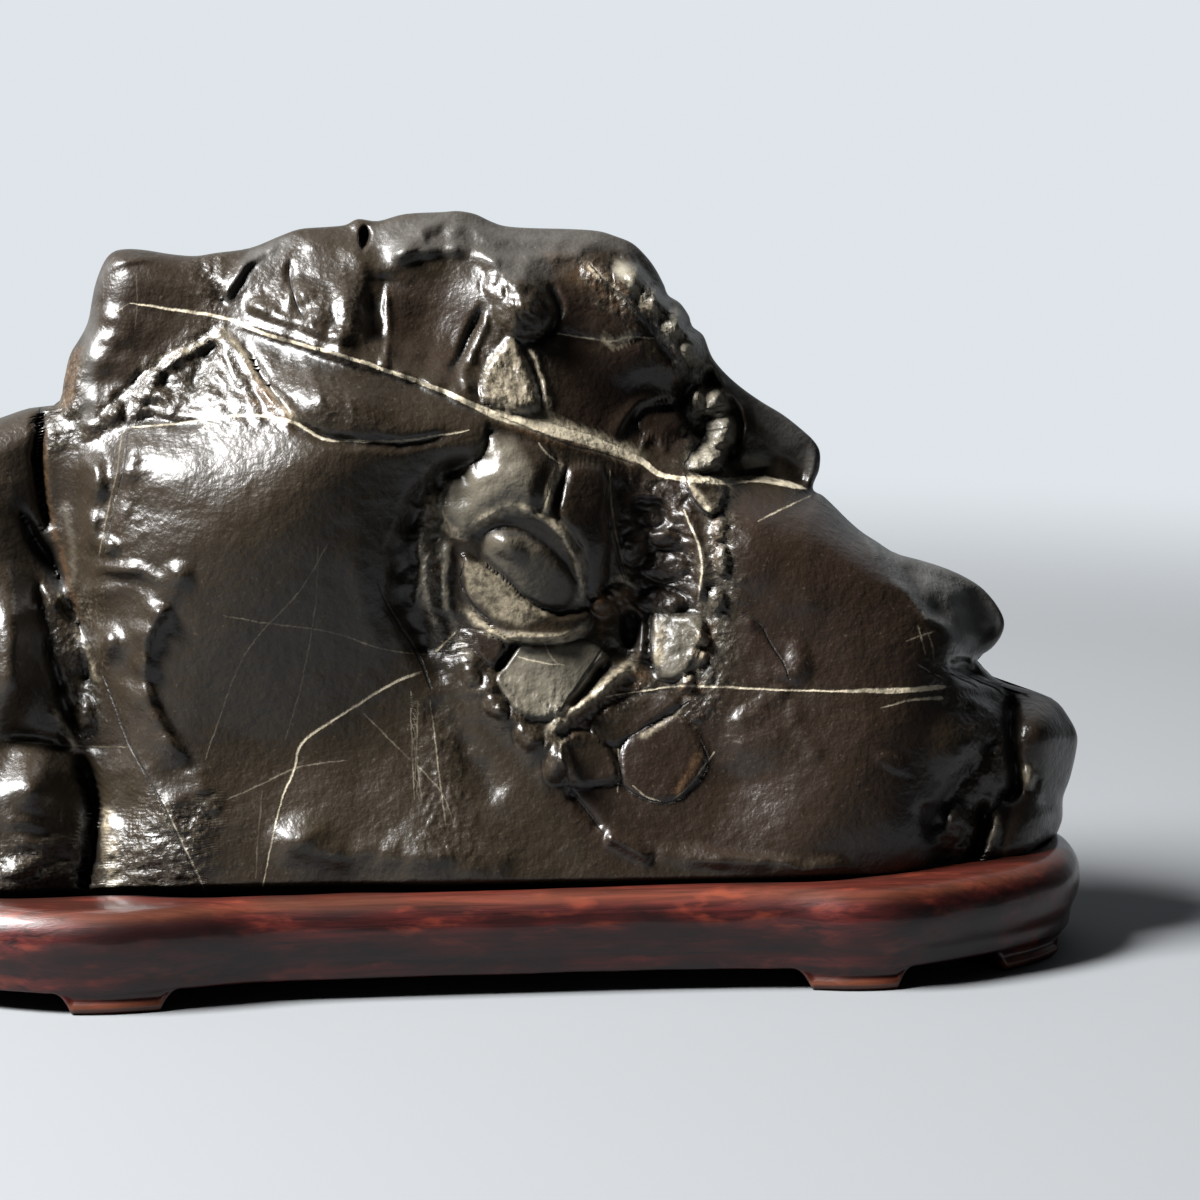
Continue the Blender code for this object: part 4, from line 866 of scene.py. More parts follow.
def base_height(u, v):
    """Thin plate through the spot heights."""
    spots = np.array(SPOTS, float)
    at = spots[:, :2] / PLATE_SCALE
    n = len(at)

    def bend(r2):
        return 0.5 * r2 * np.log(r2 + 1e-12)

    gram = np.zeros((n + 3, n + 3))
    gram[:n, :n] = bend(((at[:, None] - at[None]) ** 2).sum(-1)) + np.eye(n) * PLATE_EASE
    gram[:n, n] = gram[n, :n] = 1.0
    gram[:n, n + 1:] = at
    gram[n + 1:, :n] = at.T
    weight = np.linalg.solve(gram, np.concatenate([spots[:, 2], np.zeros(3)]))
    x, y = u / PLATE_SCALE, v / PLATE_SCALE
    height = weight[n] + weight[n + 1] * x + weight[n + 2] * y
    for (a, b), w in zip(at, weight):
        height = height + w * bend((x - a) ** 2 + (y - b) ** 2)
    return height


def cut_relief(u, v, table):
    """Heights that the features of a table carve."""
    height = np.zeros(u.shape)
    for kind, place, amount, *more in table:
        if kind in ("dome", "lump", "oval"):
            reach = oval_reach(u, v, place)
            if kind == "dome":
                height += amount * np.clip(1 - reach ** 2, 0, 1) ** 2
            else:
                cap = np.clip(1 - reach ** 2, 0, 1) ** CAP_POWER[kind]
                height += amount * (cap - MOAT_SHARE * np.exp(-((reach - MOAT_PLACE) / MOAT_WIDTH) ** 2))
            continue
        width, *more = more
        reach = more[0] if kind == "scarp" else width
        here = near_box(u, v, place, LINE_REACH * max(reach, width) + BOX_MARGIN)
        if not here.any():
            continue
        hu, hv = u[here], v[here]
        if kind in ("plate", "pit"):
            inset = depth_inside(hu, hv, smooth_line(place, True))
            if kind == "pit":
                height[here] += amount * ease(inset / width)
            else:
                crease = np.exp(-(np.clip(-inset, 0, None) / PLATE_GAP) ** 2) * (inset < 0)
                middle = np.mean(place, axis=0)
                fall = more[0] * (hu - middle[0]) + more[1] * (hv - middle[1]) if more else 0.0
                height[here] += (amount * round_over(inset / width) - PLATE_CREASE * crease
                                 + fall * ease(inset / width))
            continue
        across, share = along(hu, hv, smooth_line(place))
        ends = ease(np.minimum(share, 1 - share) / LINE_END)
        ends = ends * (LINE_EVEN + LINE_UNEVEN * ripples(hu / LINE_WAVE, hv / LINE_WAVE, LINE_SEED))
        if kind == "scarp":
            shape = ease((across / width + 1) / 2) * np.exp(-(np.clip(across, 0, None) / reach) ** 2)
        elif kind == "crack":
            shape = 1 / (1 + (across / width) ** 2) - 1 / (1 + LINE_REACH ** 2)
            shape = np.clip(shape, 0, None)
        else:
            shape = np.exp(-(across / width) ** 2)
        height[here] += amount * shape * ends
    return height


def masks(u, v, height, rugged_places, tints, strokes):
    """Roughen the heights in place and give the coloured and unpolished masks."""
    found = {name: np.zeros(u.shape) for name in MASKS}
    for k, (outline, amount, wave, dull) in enumerate(rugged_places):
        here = near_box(u, v, outline, EDGE_SWAY + 25)
        hu, hv = u[here], v[here]
        inset = depth_inside(hu, hv, np.array(outline, float))
        inset = inset + EDGE_SWAY * ripples(hu / EDGE_WAVE, hv / EDGE_WAVE, k)
        weight = ease(0.5 + inset / (2 * EDGE_WAVE))
        height[here] += amount * weight * rugged(hu, hv, wave, RUGGED_SEED + k, 3, True)
        found["rough"][here] = np.maximum(found["rough"][here], dull * weight)
    for name, place, soft, strength in tints:
        if len(place) == 5 and not isinstance(place[0], tuple):
            weight = ease((1.1 - oval_reach(u, v, place)) / 0.2)
        else:
            weight = ease(0.5 + depth_inside(u, v, np.array(place, float)) / (2 * soft))
        found[name] = np.maximum(found[name], strength * weight)
    for name, stations, half, strength in strokes:
        here = near_box(u, v, stations, 2 * half + 4)
        across, share = along(u[here], v[here], smooth_line(stations))
        ends = ease(np.minimum(share, 1 - share) / 0.08 + 0.2)
        weight = strength * ease(1.5 - np.abs(across) / half) * ends
        found[name][here] = np.maximum(found[name][here], weight)
    return found


def vein_fields(u, v, table):
    """For each set of lines: distance from the nearest, its half-width (negative far off), strength."""
    sets = [np.zeros(u.shape + (3,)) + (FAR_OFF, NO_LINE, 0.0) for _ in range(LINE_SETS)]
    for group, stations, halves, strength in table:
        here = near_box(u, v, stations, VEIN_BOX)
        if not here.any():
            continue
        across, share = along(u[here], v[here], smooth_line(stations))
        half = np.interp(share, np.linspace(0, 1, len(halves)), halves)
        half = half * ease(np.minimum(share, 1 - share) / 0.04 + 0.3)
        ended = (share <= 0) | (share >= 1)
        half = np.where(ended | (np.abs(across) > half + VEIN_SHOULDER), NO_LINE, half)
        field = sets[group][here]
        near = np.abs(across) < np.abs(field[..., 0])
        new = np.stack([across, half, np.full(across.shape, strength)], -1)
        sets[group][here] = np.where(near[..., None], new, field)
    return sets


def sight():
    """Unit vectors towards the eye, to its right and upwards."""
    ca, sa = math.cos(VIEW_AZIMUTH), math.sin(VIEW_AZIMUTH)
    ce, se = math.cos(VIEW_ELEVATION), math.sin(VIEW_ELEVATION)
    back = np.array([sa * ce, -ca * ce, se])
    right = np.array([ca, sa, 0.0])
    return back, right, np.cross(right, -back)


def on_sight_line(u, v, depth):
    """World point where the line of sight through sheet station (u, v) meets Y = depth."""
    back, right, up = sight()
    eye = np.array(VIEW_TARGET) + back * VIEW_DISTANCE
    ray = (-back * VIEW_DISTANCE + right * ((u - SHEET_MIDDLE) * SQUARE)[..., None]
           - up * ((v - SHEET_MIDDLE) * SQUARE)[..., None])
    return eye + ray * ((depth - eye[1]) / ray[..., 1])[..., None]


def sheet_grid(columns, rows, rim_crowding):
    """Stations of a grid wrapped onto the outline, and their distance from it."""
    b, a = np.meshgrid(np.linspace(-1, 1, rows + 1), np.linspace(-1, 1, columns + 1))
    wide = np.abs(a) >= np.abs(b)
    low, high = np.where(wide, b, a), np.where(wide, a, b)
    swing = math.pi / 4 * low / np.where(high == 0, 1, high)
    turn = np.where(wide, swing, math.pi / 2 - swing)
    x, y = high * np.cos(turn), high * np.sin(turn)
    reach = rim_crowding(np.clip(np.hypot(x, y), 0, 1))
    edge = smooth_line(OUTLINE, closed=True, per=4)
    edge_turn = np.arctan2(edge[:, 1] - STONE_MIDDLE[1], edge[:, 0] - STONE_MIDDLE[0])
    edge_far = np.hypot(edge[:, 0] - STONE_MIDDLE[0], edge[:, 1] - STONE_MIDDLE[1])
    order = np.argsort(edge_turn)
    turn = np.arctan2(y, x)
    radius, *nearby = (np.interp(turn + step, edge_turn[order], edge_far[order], period=2 * math.pi)
                       for step in (0.0, *np.linspace(-0.3, 0.3, 13)))
    even = np.mean(nearby, axis=0)
    far = even * reach + (radius - even) * reach ** 5
    u = STONE_MIDDLE[0] + far * np.cos(turn)
    v = STONE_MIDDLE[1] + far * np.sin(turn)
    inset = np.abs(along(u, v, np.vstack([edge, edge[:1]]))[0])
    rim = np.zeros(u.shape, bool)
    rim[[0, -1], :] = rim[:, [0, -1]] = True
    return u, v, np.where(rim, 0.0, inset)


def shell(u, v, height, swell, side):
    """World points at a height in millimetres, flattened where they would reach below the seat."""
    world = on_sight_line(u, v, side * height * MM)
    low = SEAT_HEIGHT + SEAT_RISE * np.abs(height * MM) * swell
    z = world[..., 2]
    world[..., 2] = np.where(z < low, low + SEAT_SAG * (z - low), z)
    return world


# ---- meshes, materials and placing ----
def link(made, links):
    """Feed sockets of a node; a node given as the source stands for its first output."""
    for key, source in links.items():
        socket = source.outputs[0] if isinstance(source, bpy.types.Node) else source
        made.id_data.links.new(socket, made.inputs[key])


def node(tree, kind, settings=None, links=None):
    """Add a node: settings go to a socket by name or index, or to a property; links to sockets."""
    made = tree.nodes.new(kind)
    for key, value in (settings or {}).items():
        if isinstance(key, int) or key in made.inputs:
            made.inputs[key].default_value = value
        else:
            setattr(made, key, value)
    link(made, links or {})
    return made


def new_material(name):
    """A node material, its Principled shader and the place on the piece."""
    material = bpy.data.materials.new(name)
    material.use_nodes = True
    tree = material.node_tree
    place = node(tree, "ShaderNodeTexCoord").outputs["Object"]
    return material, tree, tree.nodes["Principled BSDF"], place


def new_piece(name, points, faces, material):
    """A smooth-shaded mesh object at the origin."""
    mesh = bpy.data.meshes.new(name)
    mesh.from_pydata(np.asarray(points).tolist(), [], faces)
    mesh.polygons.foreach_set("use_smooth", [True] * len(mesh.polygons))
    mesh.materials.append(material)
    mesh.update()
    piece = bpy.data.objects.new(name, mesh)
    bpy.context.scene.collection.objects.link(piece)
    return piece


def set_field(piece, name, values):
    """Store numbers or triples on the points of a mesh."""
    values = np.asarray(values, float)
    kind, key = ("FLOAT", "value") if values.ndim == 1 else ("FLOAT_VECTOR", "vector")
    field = piece.data.attributes.new(name, kind, "POINT")
    field.data.foreach_set(key, values.ravel())


def place_piece(piece, stands_for):
    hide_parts(stands_for)
    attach(piece, "root")


# ---- finishes ----
def waxed_limestone(s):
    """Dark water-worn limestone rubbed with wax: soft gloss, fine grain, calcite veins, hollows dulled
    and darkened with painted shade, painted sheen on some top faces.
    """
    material, tree, shader, place = new_material("WaxedLimestone")
    mm = node(tree, "ShaderNodeVectorMath", {"operation": "SCALE", "Scale": 1 / MM}, {0: place})
    cloud, mottle, grit, speck, grain = (
        node(tree, "ShaderNodeTexNoise", {"Scale": 1 / size, "Detail": detail, "Roughness": 0.6},
             {"Vector": mm})
        for size, detail in ((38.0, 3.0), (6.0, 4.0), (2.2, 3.0), (1.3, 3.0), (0.8, 2.0)))
    has = {name: node(tree, "ShaderNodeAttribute", {"attribute_name": name}).outputs["Fac"]
           for name in MASKS}

    # calcite veins, hairlines and cracks: sharp where the distance field crosses their half-width
    wobble = node(tree, "ShaderNodeMath", {"operation": "MULTIPLY_ADD", 1: 2.4, 2: -1.2}, {0: speck})
    broken = node(tree, "ShaderNodeMapRange", {"From Min": 0.36, "From Max": 0.56, "To Min": 0.25},
                  {"Value": mottle})
    lines = []
    for k in range(LINE_SETS):
        field = node(tree, "ShaderNodeAttribute", {"attribute_name": "lines_%d" % k})
        part = node(tree, "ShaderNodeSeparateXYZ", links={0: field.outputs["Vector"]}).outputs
        shifted = node(tree, "ShaderNodeMath", {"operation": "ADD"}, {0: part[0], 1: wobble})
        off = node(tree, "ShaderNodeMath", {"operation": "ABSOLUTE"}, {0: shifted})
        past = node(tree, "ShaderNodeMath", {"operation": "SUBTRACT"}, {0: off, 1: part[1]})
        line = node(tree, "ShaderNodeMapRange", {"From Min": 0.6, "From Max": -0.6}, {"Value": past})
        lines.append(node(tree, "ShaderNodeMath", {"operation": "MULTIPLY"}, {0: line, 1: part[2]}))
    calcite, *hairlines = lines[:PALE_SETS]
    for other in hairlines:
        calcite = node(tree, "ShaderNodeMath", {"operation": "MAXIMUM"}, {0: calcite, 1: other})
    # the dark sets: cracks darkened with painted shade
    crack = node(tree, "ShaderNodeMath", {"operation": "MAXIMUM"}, dict(enumerate(lines[PALE_SETS:])))
    calcite = node(tree, "ShaderNodeMath", {"operation": "MULTIPLY"}, {0: calcite, 1: broken})

    # colour: clouded body, then each tint broken up by the mottle, grey partly as painted sheen, then
    # dust, painted shade in the hollows and darkest places, flecks, calcite and cracks darkened with
    # painted shade
    colour = node(tree, "ShaderNodeMix", {"data_type": "RGBA", 6: rgba(s.shadow_colour),
                                          7: rgba(s.body_colour)}, {0: cloud}).outputs[2]
    uneven = node(tree, "ShaderNodeMath", {"operation": "MULTIPLY_ADD", 1: 0.9, 2: 0.5}, {0: mottle})
    patchy = node(tree, "ShaderNodeMapRange", {"From Min": 0.36, "From Max": 0.58, "To Min": 0.25},
                  {"Value": grit})
    specked = node(tree, "ShaderNodeMapRange", {"From Min": 0.5, "From Max": 0.75, "To Max": 0.6},
                   {"Value": speck})
    fleck = node(tree, "ShaderNodeMapRange", {"From Min": 0.62, "From Max": 0.74, "To Max": 0.16},
                 {"Value": speck})
    layers = []
    for mask, tint, breakup in (("brown", s.brown_colour, uneven), ("grey", s.grey_and_sheen_colour, uneven),
                                ("pale", s.pale_colour, uneven), ("amber", s.amber_colour, patchy),
                                ("cream", s.cream_colour, patchy), ("rough", s.dust_colour, specked),
                                ("hollow", s.shade_paint_colour, uneven), ("painted_shade", s.shade_paint_colour, uneven)):
        layers.append((node(tree, "ShaderNodeMath", {"operation": "MULTIPLY", "use_clamp": True},
                            {0: has[mask], 1: breakup}), tint))
    layers += [(fleck, s.dust_colour), (calcite, s.vein_colour), (crack, s.shade_paint_colour)]
    for share, tint in layers:
        colour = node(tree, "ShaderNodeMix", {"data_type": "RGBA", 7: rgba(tint)},
                      {0: share, 6: colour}).outputs[2]

    # gloss: the wax is thin on the grey places and never took on the calcite
    gloss = node(tree, "ShaderNodeMath", {"operation": "MULTIPLY_ADD", 1: 0.22, 2: s.roughness - 0.11},
                 {0: mottle})
    for mask, gain in ((has["rough"], 0.04), (has["grey"], 0.20), (has["pale"], 0.06),
                       (has["painted_shade"], 0.3), (calcite, 0.15), (crack, 0.4)):
        gloss = node(tree, "ShaderNodeMath", {"operation": "MULTIPLY_ADD", 1: gain}, {0: mask, 2: gloss})
    shader.inputs["Specular IOR Level"].default_value = 0.28
    shader.inputs["Coat Weight"].default_value = s.wax
    shader.inputs["Coat Roughness"].default_value = s.wax_roughness

    # fine relief in millimetres: 0.8 mm grain, dimples of 1.7 and 3.6 mm, pits in the rough places
    dimple, leather = (
        node(tree, "ShaderNodeTexNoise", {"Scale": 1 / size, "Detail": 2.0}, {"Vector": mm})
        for size in (3.6, 1.7))
    pits = node(tree, "ShaderNodeTexVoronoi", {"Scale": 1 / 1.9, "Randomness": 1.0}, {"Vector": mm})
    fine = node(tree, "ShaderNodeMath", {"operation": "MULTIPLY", 1: s.grain_depth}, {0: grain})
    pitted = node(tree, "ShaderNodeMath", {"operation": "MULTIPLY_ADD", 1: 0.8}, {0: speck, 2: pits})
    deep = node(tree, "ShaderNodeMath", {"operation": "MULTIPLY"}, {0: pitted, 1: has["rough"]})
    for part, amount in ((dimple, 0.42), (leather, 0.24), (deep, 0.75), (calcite, -0.08), (crack, -0.5)):
        fine = node(tree, "ShaderNodeMath", {"operation": "MULTIPLY_ADD", 1: amount}, {0: part, 2: fine})
    bump = node(tree, "ShaderNodeBump", {"Strength": 1.0, "Distance": MM}, {"Height": fine})
    link(shader, {"Base Color": colour, "Roughness": gloss, "Normal": bump})
    return material


def lacquered_rosewood(s):
    """Carved hardwood under dark red lacquer: long grain, clouded stain, rubbed edges with a painted
    highlight, painted shade in the recess and underneath, clear gloss.
    """
    material, tree, shader, place = new_material("LacqueredRosewood")
    mm = node(tree, "ShaderNodeVectorMath", {"operation": "SCALE", "Scale": 1 / MM}, {0: place})
    lengthwise, longish = (
        node(tree, "ShaderNodeVectorMath", {"operation": "MULTIPLY", 1: stretch}, {0: mm})
        for stretch in ((0.035, 0.7, 0.7), (0.45, 1.0, 1.3)))
    streak, fibre = (
        node(tree, "ShaderNodeTexNoise", {"Scale": scale, "Detail": detail, "Roughness": 0.65,
                                          "Distortion": 0.6}, {"Vector": lengthwise})
        for scale, detail in ((MM / s.grain_width, 5.0), (3.2, 3.0)))
    stain, patch = (
        node(tree, "ShaderNodeTexNoise", {"Scale": 1 / size, "Detail": 3.0}, {"Vector": longish})
        for size in (14.0, 5.0))
    worn, shade = (node(tree, "ShaderNodeAttribute", {"attribute_name": name}).outputs["Fac"]
                   for name in ("worn", "shade"))
    band, cloud, bright = (
        node(tree, "ShaderNodeMapRange", {"From Min": low, "From Max": high, "To Max": most},
             {"Value": source})
        for low, high, most, source in ((0.35, 0.68, 1.0, streak), (0.42, 0.62, 1.0, stain),
                                        (0.55, 0.72, 0.75, patch)))
    wear_and_highlight = node(tree, "ShaderNodeMath", {"operation": "MULTIPLY"}, {0: worn, 1: streak})
    colour = node(tree, "ShaderNodeMix", {"data_type": "RGBA", 6: rgba(s.deep_colour),
                                          7: rgba(s.wood_colour)}, {0: band}).outputs[2]
    for share, tint in ((bright, s.warm_colour), (cloud, s.deep_colour), (wear_and_highlight, s.edge_and_highlight_colour),
                        (shade, s.shadow_colour)):
        colour = node(tree, "ShaderNodeMix", {"data_type": "RGBA", 7: rgba(tint)},
                      {0: share, 6: colour}).outputs[2]
    gloss = node(tree, "ShaderNodeMath", {"operation": "MULTIPLY_ADD", 1: 0.2, 2: 0.30}, {0: streak})
    shader.inputs["Specular IOR Level"].default_value = 0.25
    shader.inputs["Coat Weight"].default_value = s.lacquer
    shader.inputs["Coat Roughness"].default_value = s.lacquer_roughness
    height = node(tree, "ShaderNodeMath", {"operation": "MULTIPLY", 1: 0.06}, {0: fibre})
    height = node(tree, "ShaderNodeMath", {"operation": "MULTIPLY_ADD", 1: 0.12},
                  {0: streak, 2: height})
    bump = node(tree, "ShaderNodeBump", {"Strength": 1.0, "Distance": MM}, {"Height": height})
    link(shader, {"Base Color": colour, "Roughness": gloss, "Normal": bump})
    return material


def plain_matt_paint(name, colour):
    """Pale matt paint for the floor; it fades away 0.42 to 0.85 m from a point behind the stand."""
    material, tree, shader, place = new_material(name)
    shader.inputs["Base Color"].default_value = rgba(colour)
    shader.inputs["Roughness"].default_value = 0.9
    far = node(tree, "ShaderNodeVectorMath", {"operation": "DISTANCE", 1: (0.04, 0.12, 0)},
               {0: place}).outputs["Value"]
    fade = node(tree, "ShaderNodeMapRange", {"interpolation_type": "SMOOTHSTEP", "From Min": 0.42,
                                             "From Max": 0.85}, {"Value": far})
    clear = node(tree, "ShaderNodeBsdfTransparent")
    both = node(tree, "ShaderNodeMixShader", links={0: fade, 1: shader, 2: clear})
    link(tree.nodes["Material Output"], {"Surface": both})
    return material


# ---- settings ----
def colour_setting(name, description, code):
    return FloatVectorProperty(name=name, description=description, subtype="COLOR", size=3, min=0,
                               max=1, default=linear(code))


def share_setting(name, description, default, least=0.0):
    return FloatProperty(name=name, description=description, default=default, min=least, max=1.0,
                         subtype="FACTOR")


def length_setting(name, description, default, least, most):
    return FloatProperty(name=name, description=description, default=default, min=least, max=most,
                         unit="LENGTH")


def count_setting(name, description, default, least, most):
    return IntProperty(name=name, description=description, default=default, min=least, max=most)


class StoneSettings(bpy.types.PropertyGroup):
    """Colours, gloss and fineness of the stone"""
    body_colour: colour_setting("Body", "Olive-brown body of the stone", "#241d13")
    shadow_colour: colour_setting("Dark cloud", "Darker clouds in the body", "#16110c")
    brown_colour: colour_setting("Brown", "Brown places on the right and at the top", "#1c130d")
    pale_colour: colour_setting("Pale plate", "Pale olive plates in the hollow", "#696458")
    # grey: partly matt water-worn stone, partly painted sheen on top faces and crests
    grey_and_sheen_colour: colour_setting("Grey", "Matt grey where the stone is only water-worn", "#3e3d3b")
    amber_colour: colour_setting("Amber", "Rust-stained lumps and edges", "#4b3724")
    cream_colour: colour_setting("Cream", "Lime-white rims and ribs", "#938975")
    dust_colour: colour_setting("Dust", "Dust and lime in the rough places", "#605b4f")
    # near-black for the hollows, the darkest places and the cracks: painted shade
    shade_paint_colour: colour_setting("Painted shade", "Grime and old wax in the hollows", "#0b0805")
    vein_colour: colour_setting("Calcite", "Veins of calcite", "#a79d88")
    roughness: share_setting("Roughness", "Roughness of the waxed body", 0.38, 0.1)
    wax: share_setting("Wax", "Share of the surface gloss that the wax gives", 0.30)
    wax_roughness: share_setting("Wax roughness", "Roughness of the wax film", 0.27)
    grain_depth: FloatProperty(name="Grain depth", description="Depth of the 0.8 mm grain in millimetres",
                               default=0.07, min=0.0, max=1.0)
    columns: count_setting("Columns", "Columns of the front's mesh", 352, 40, 360)
    rows: count_setting("Rows", "Rows of the front's mesh", 216, 20, 220)


class StandSettings(bpy.types.PropertyGroup):
    """Colours and finish of the stand"""
    wood_colour: colour_setting("Wood", "Red-brown wood under the lacquer", "#40120f")
    deep_colour: colour_setting("Deep stain", "Dark clouds of the stain", "#160404")
    warm_colour: colour_setting("Warm grain", "Orange-red grain where the stain is thin", "#582316")
    # rubbed edge: worn wood along the top edge and the feet, and a painted highlight there
    edge_and_highlight_colour: colour_setting("Rubbed edge", "Wood showing on rubbed edges", "#653722")
    # near-black for the recess and the underside: painted shade
    shadow_colour: colour_setting("Recess", "Old grime in the recess and under the stand", "#070202")
    grain_width: length_setting("Grain width", "Width of the grain's streaks", 0.0016, 0.0002, 0.01)
    lacquer: share_setting("Lacquer", "Share of the clear lacquer", 0.4)
    lacquer_roughness: share_setting("Lacquer roughness", "Roughness of the lacquer", 0.14)
    cut_depth: length_setting("Cut depth", "Depth of the carver's shallow cuts", 0.0003, 0.0, 0.002)
    cut_length: length_setting("Cut length", "Length of one cut", 0.011, 0.002, 0.05)
    columns: count_setting("Columns", "Columns of the mesh around the stand", 1100, 200, 1400)


class StageSettings(bpy.types.PropertyGroup):
    """Floor and lights"""
    floor_colour: colour_setting("Floor", "Pale floor", "#5c5e60")
    wall_colour: colour_setting("Background", "Pale background", "#dfe5ea")
    lamp_power: FloatProperty(name="Lamp power", description="Power of the soft lamp", default=440.0,
                              min=0.0, max=2000.0, unit="POWER")
    lamp_size: length_setting("Lamp size", "Side of the soft lamp", 0.85, 0.05, 3.0)
    lamp_distance: length_setting("Lamp distance", "From the stone to the lamp", 2.4, 0.5, 5.0)
    fill_front: FloatProperty(name="Fill in front", description="Light from in front", default=0.02,
                              min=0.0, max=2.0)
    fill_back: FloatProperty(name="Fill behind", description="Light from behind and above", default=0.8,
                             min=0.0, max=2.0)


# ---- operators ----
def aim(name, data, towards, distance):
    """Link a lamp or camera that looks at the stone's middle from some way off."""
    made = bpy.data.objects.new(name, data)
    made.location = Vector(VIEW_TARGET) + towards * distance
    made.rotation_euler = towards.to_track_quat("Z", "Y").to_euler()
    bpy.context.scene.collection.objects.link(made)
    return made


class ROCK_OT_stage(bpy.types.Operator):
    """Lay the floor and set the soft lamp, the fill and the camera"""
    bl_idname = "scholars_rock.stage"
    bl_label = "Set the stage"

    def execute(self, context):
        s = context.scene.rock_stage
        turn = np.linspace(0, 2 * math.pi, FLOOR_SIDES, endpoint=False)
        floor = new_piece("Floor", [(math.cos(t), math.sin(t), FLOOR_LEVEL) for t in turn],
                          [tuple(range(FLOOR_SIDES))], plain_matt_paint("MattPaint", s.floor_colour))
        lamp = bpy.data.lights.new("SoftLamp", "AREA")
        lamp.shape = "SQUARE"
        lamp.size = s.lamp_size
        lamp.energy = s.lamp_power
        aim("SoftLamp", lamp, Vector(LAMP_TOWARDS).normalized(), s.lamp_distance)

        world = bpy.data.worlds.new("Studio")
        world.use_nodes = True
        tree = world.node_tree
        tree.nodes.clear()
        heading = node(tree, "ShaderNodeTexCoord").outputs["Generated"]
        behind = node(tree, "ShaderNodeVectorMath", {"operation": "DOT_PRODUCT", 1: FILL_TOWARDS},
                      {0: heading}).outputs["Value"]
        amount = node(tree, "ShaderNodeMapRange", {"From Min": 0.35, "From Max": 1.0,
                                                   "To Min": s.fill_front, "To Max": s.fill_back},
                      {"Value": behind})
        wall = rgba(s.wall_colour)
        glow = node(tree, "ShaderNodeBackground", {"Color": wall}, {"Strength": amount})
        seen = node(tree, "ShaderNodeBackground", {"Color": wall, "Strength": 1.0})
        direct = node(tree, "ShaderNodeLightPath").outputs["Is Camera Ray"]
        both = node(tree, "ShaderNodeMixShader", links={0: direct, 1: glow, 2: seen})
        node(tree, "ShaderNodeOutputWorld", links={0: both})
        context.scene.world = world
        context.scene.view_settings.view_transform = "Standard"

        camera = bpy.data.cameras.new("View")
        camera.lens = 150
        camera.sensor_width = 36
        camera.clip_start = 0.05
        context.scene.camera = aim("View", camera, Vector(sight()[0]), VIEW_DISTANCE)
        return {"FINISHED"}


def front_side(columns, rows):
    """World points, masks and line fields of the stone's front."""
    # fine near the hollow in the middle, crowded at the rim so that it rounds off
    u, v, inset = sheet_grid(columns, rows, lambda t: 0.8 * t + 0.4333 * t ** 3 - 0.2333 * t ** 9)
    rim = FRONT_RIM - (FRONT_RIM - FOOT_RIM) * ease((v - FOOT_LINE) / FOOT_LINE_RUN)
    swell = round_over(inset / rim)
    wu, wv = sway(u, v, (2.6, 41, 3), (1.3, 15, 5))
    relief = cut_relief(wu, wv, RELIEF)
    # darker where the relief lies under its blurred surroundings: painted shade in hollows and creases
    hollow = sunk(relief, 5, 2.6)
    found = masks(wu, wv, relief, RUGGED, TINTS, STROKES)
    relief += 0.32 * rugged(u, v, 75, 11, 2) + 0.13 * rugged(u, v, 24, 17, 2)
    found["hollow"] = np.clip(0.7 * hollow + 0.4 * sunk(relief, 3, 0.8) * found["rough"], 0, 1)
    base, least = base_height(u, v), RIM_LEAST - inset / RIM_RUN
    base = (base + least + np.sqrt((base - least) ** 2 + RIM_BLEND ** 2)) / 2
    height = base * swell + relief * ease(inset / RELIEF_RUN)
    lines = vein_fields(*sway(u, v, (0.7, 20, 8)), VEINS)
    return shell(u, v, height, swell, -1), found, lines


def back_side(columns, rows):
    """The same for the back, which is plainer and half as fine."""
    u, v, inset = sheet_grid(columns, rows, lambda t: t * (1 + (1 - t ** 6) / 6))
    swell = round_over(inset / BACK_RIM)
    away = BACK_DEPTH * (1 - np.clip(np.abs(u - BACK_MIDDLE) / BACK_HALF, 0, 1) ** 4)
    away = away - BACK_LEAN * np.clip(BACK_LEAN_FROM - v, 0, None)
    for *oval, amount in BACK_SWELLS:
        away = away + amount * (np.exp(-oval_reach(u, v, oval) ** 2) - SWELL_MEAN)
    wu, wv = sway(u, v, (5, 60, 23))
    relief = cut_relief(wu, wv, BACK_RELIEF)
    # darker where the relief lies under its blurred surroundings: painted shade in hollows and creases
    hollow = sunk(relief, 3, 1.6)
    found = masks(wu, wv, relief, BACK_RUGGED, BACK_TINTS, [])
    found["hollow"] = hollow
    relief += 1.6 * rugged(u, v, 150, 31, 3)
    height = away * swell + relief * ease(inset / BACK_RELIEF_RUN)
    lines = vein_fields(*sway(u, v, (2, 30, 28)), BACK_VEINS)
    return shell(u, v, height, swell, 1), found, lines


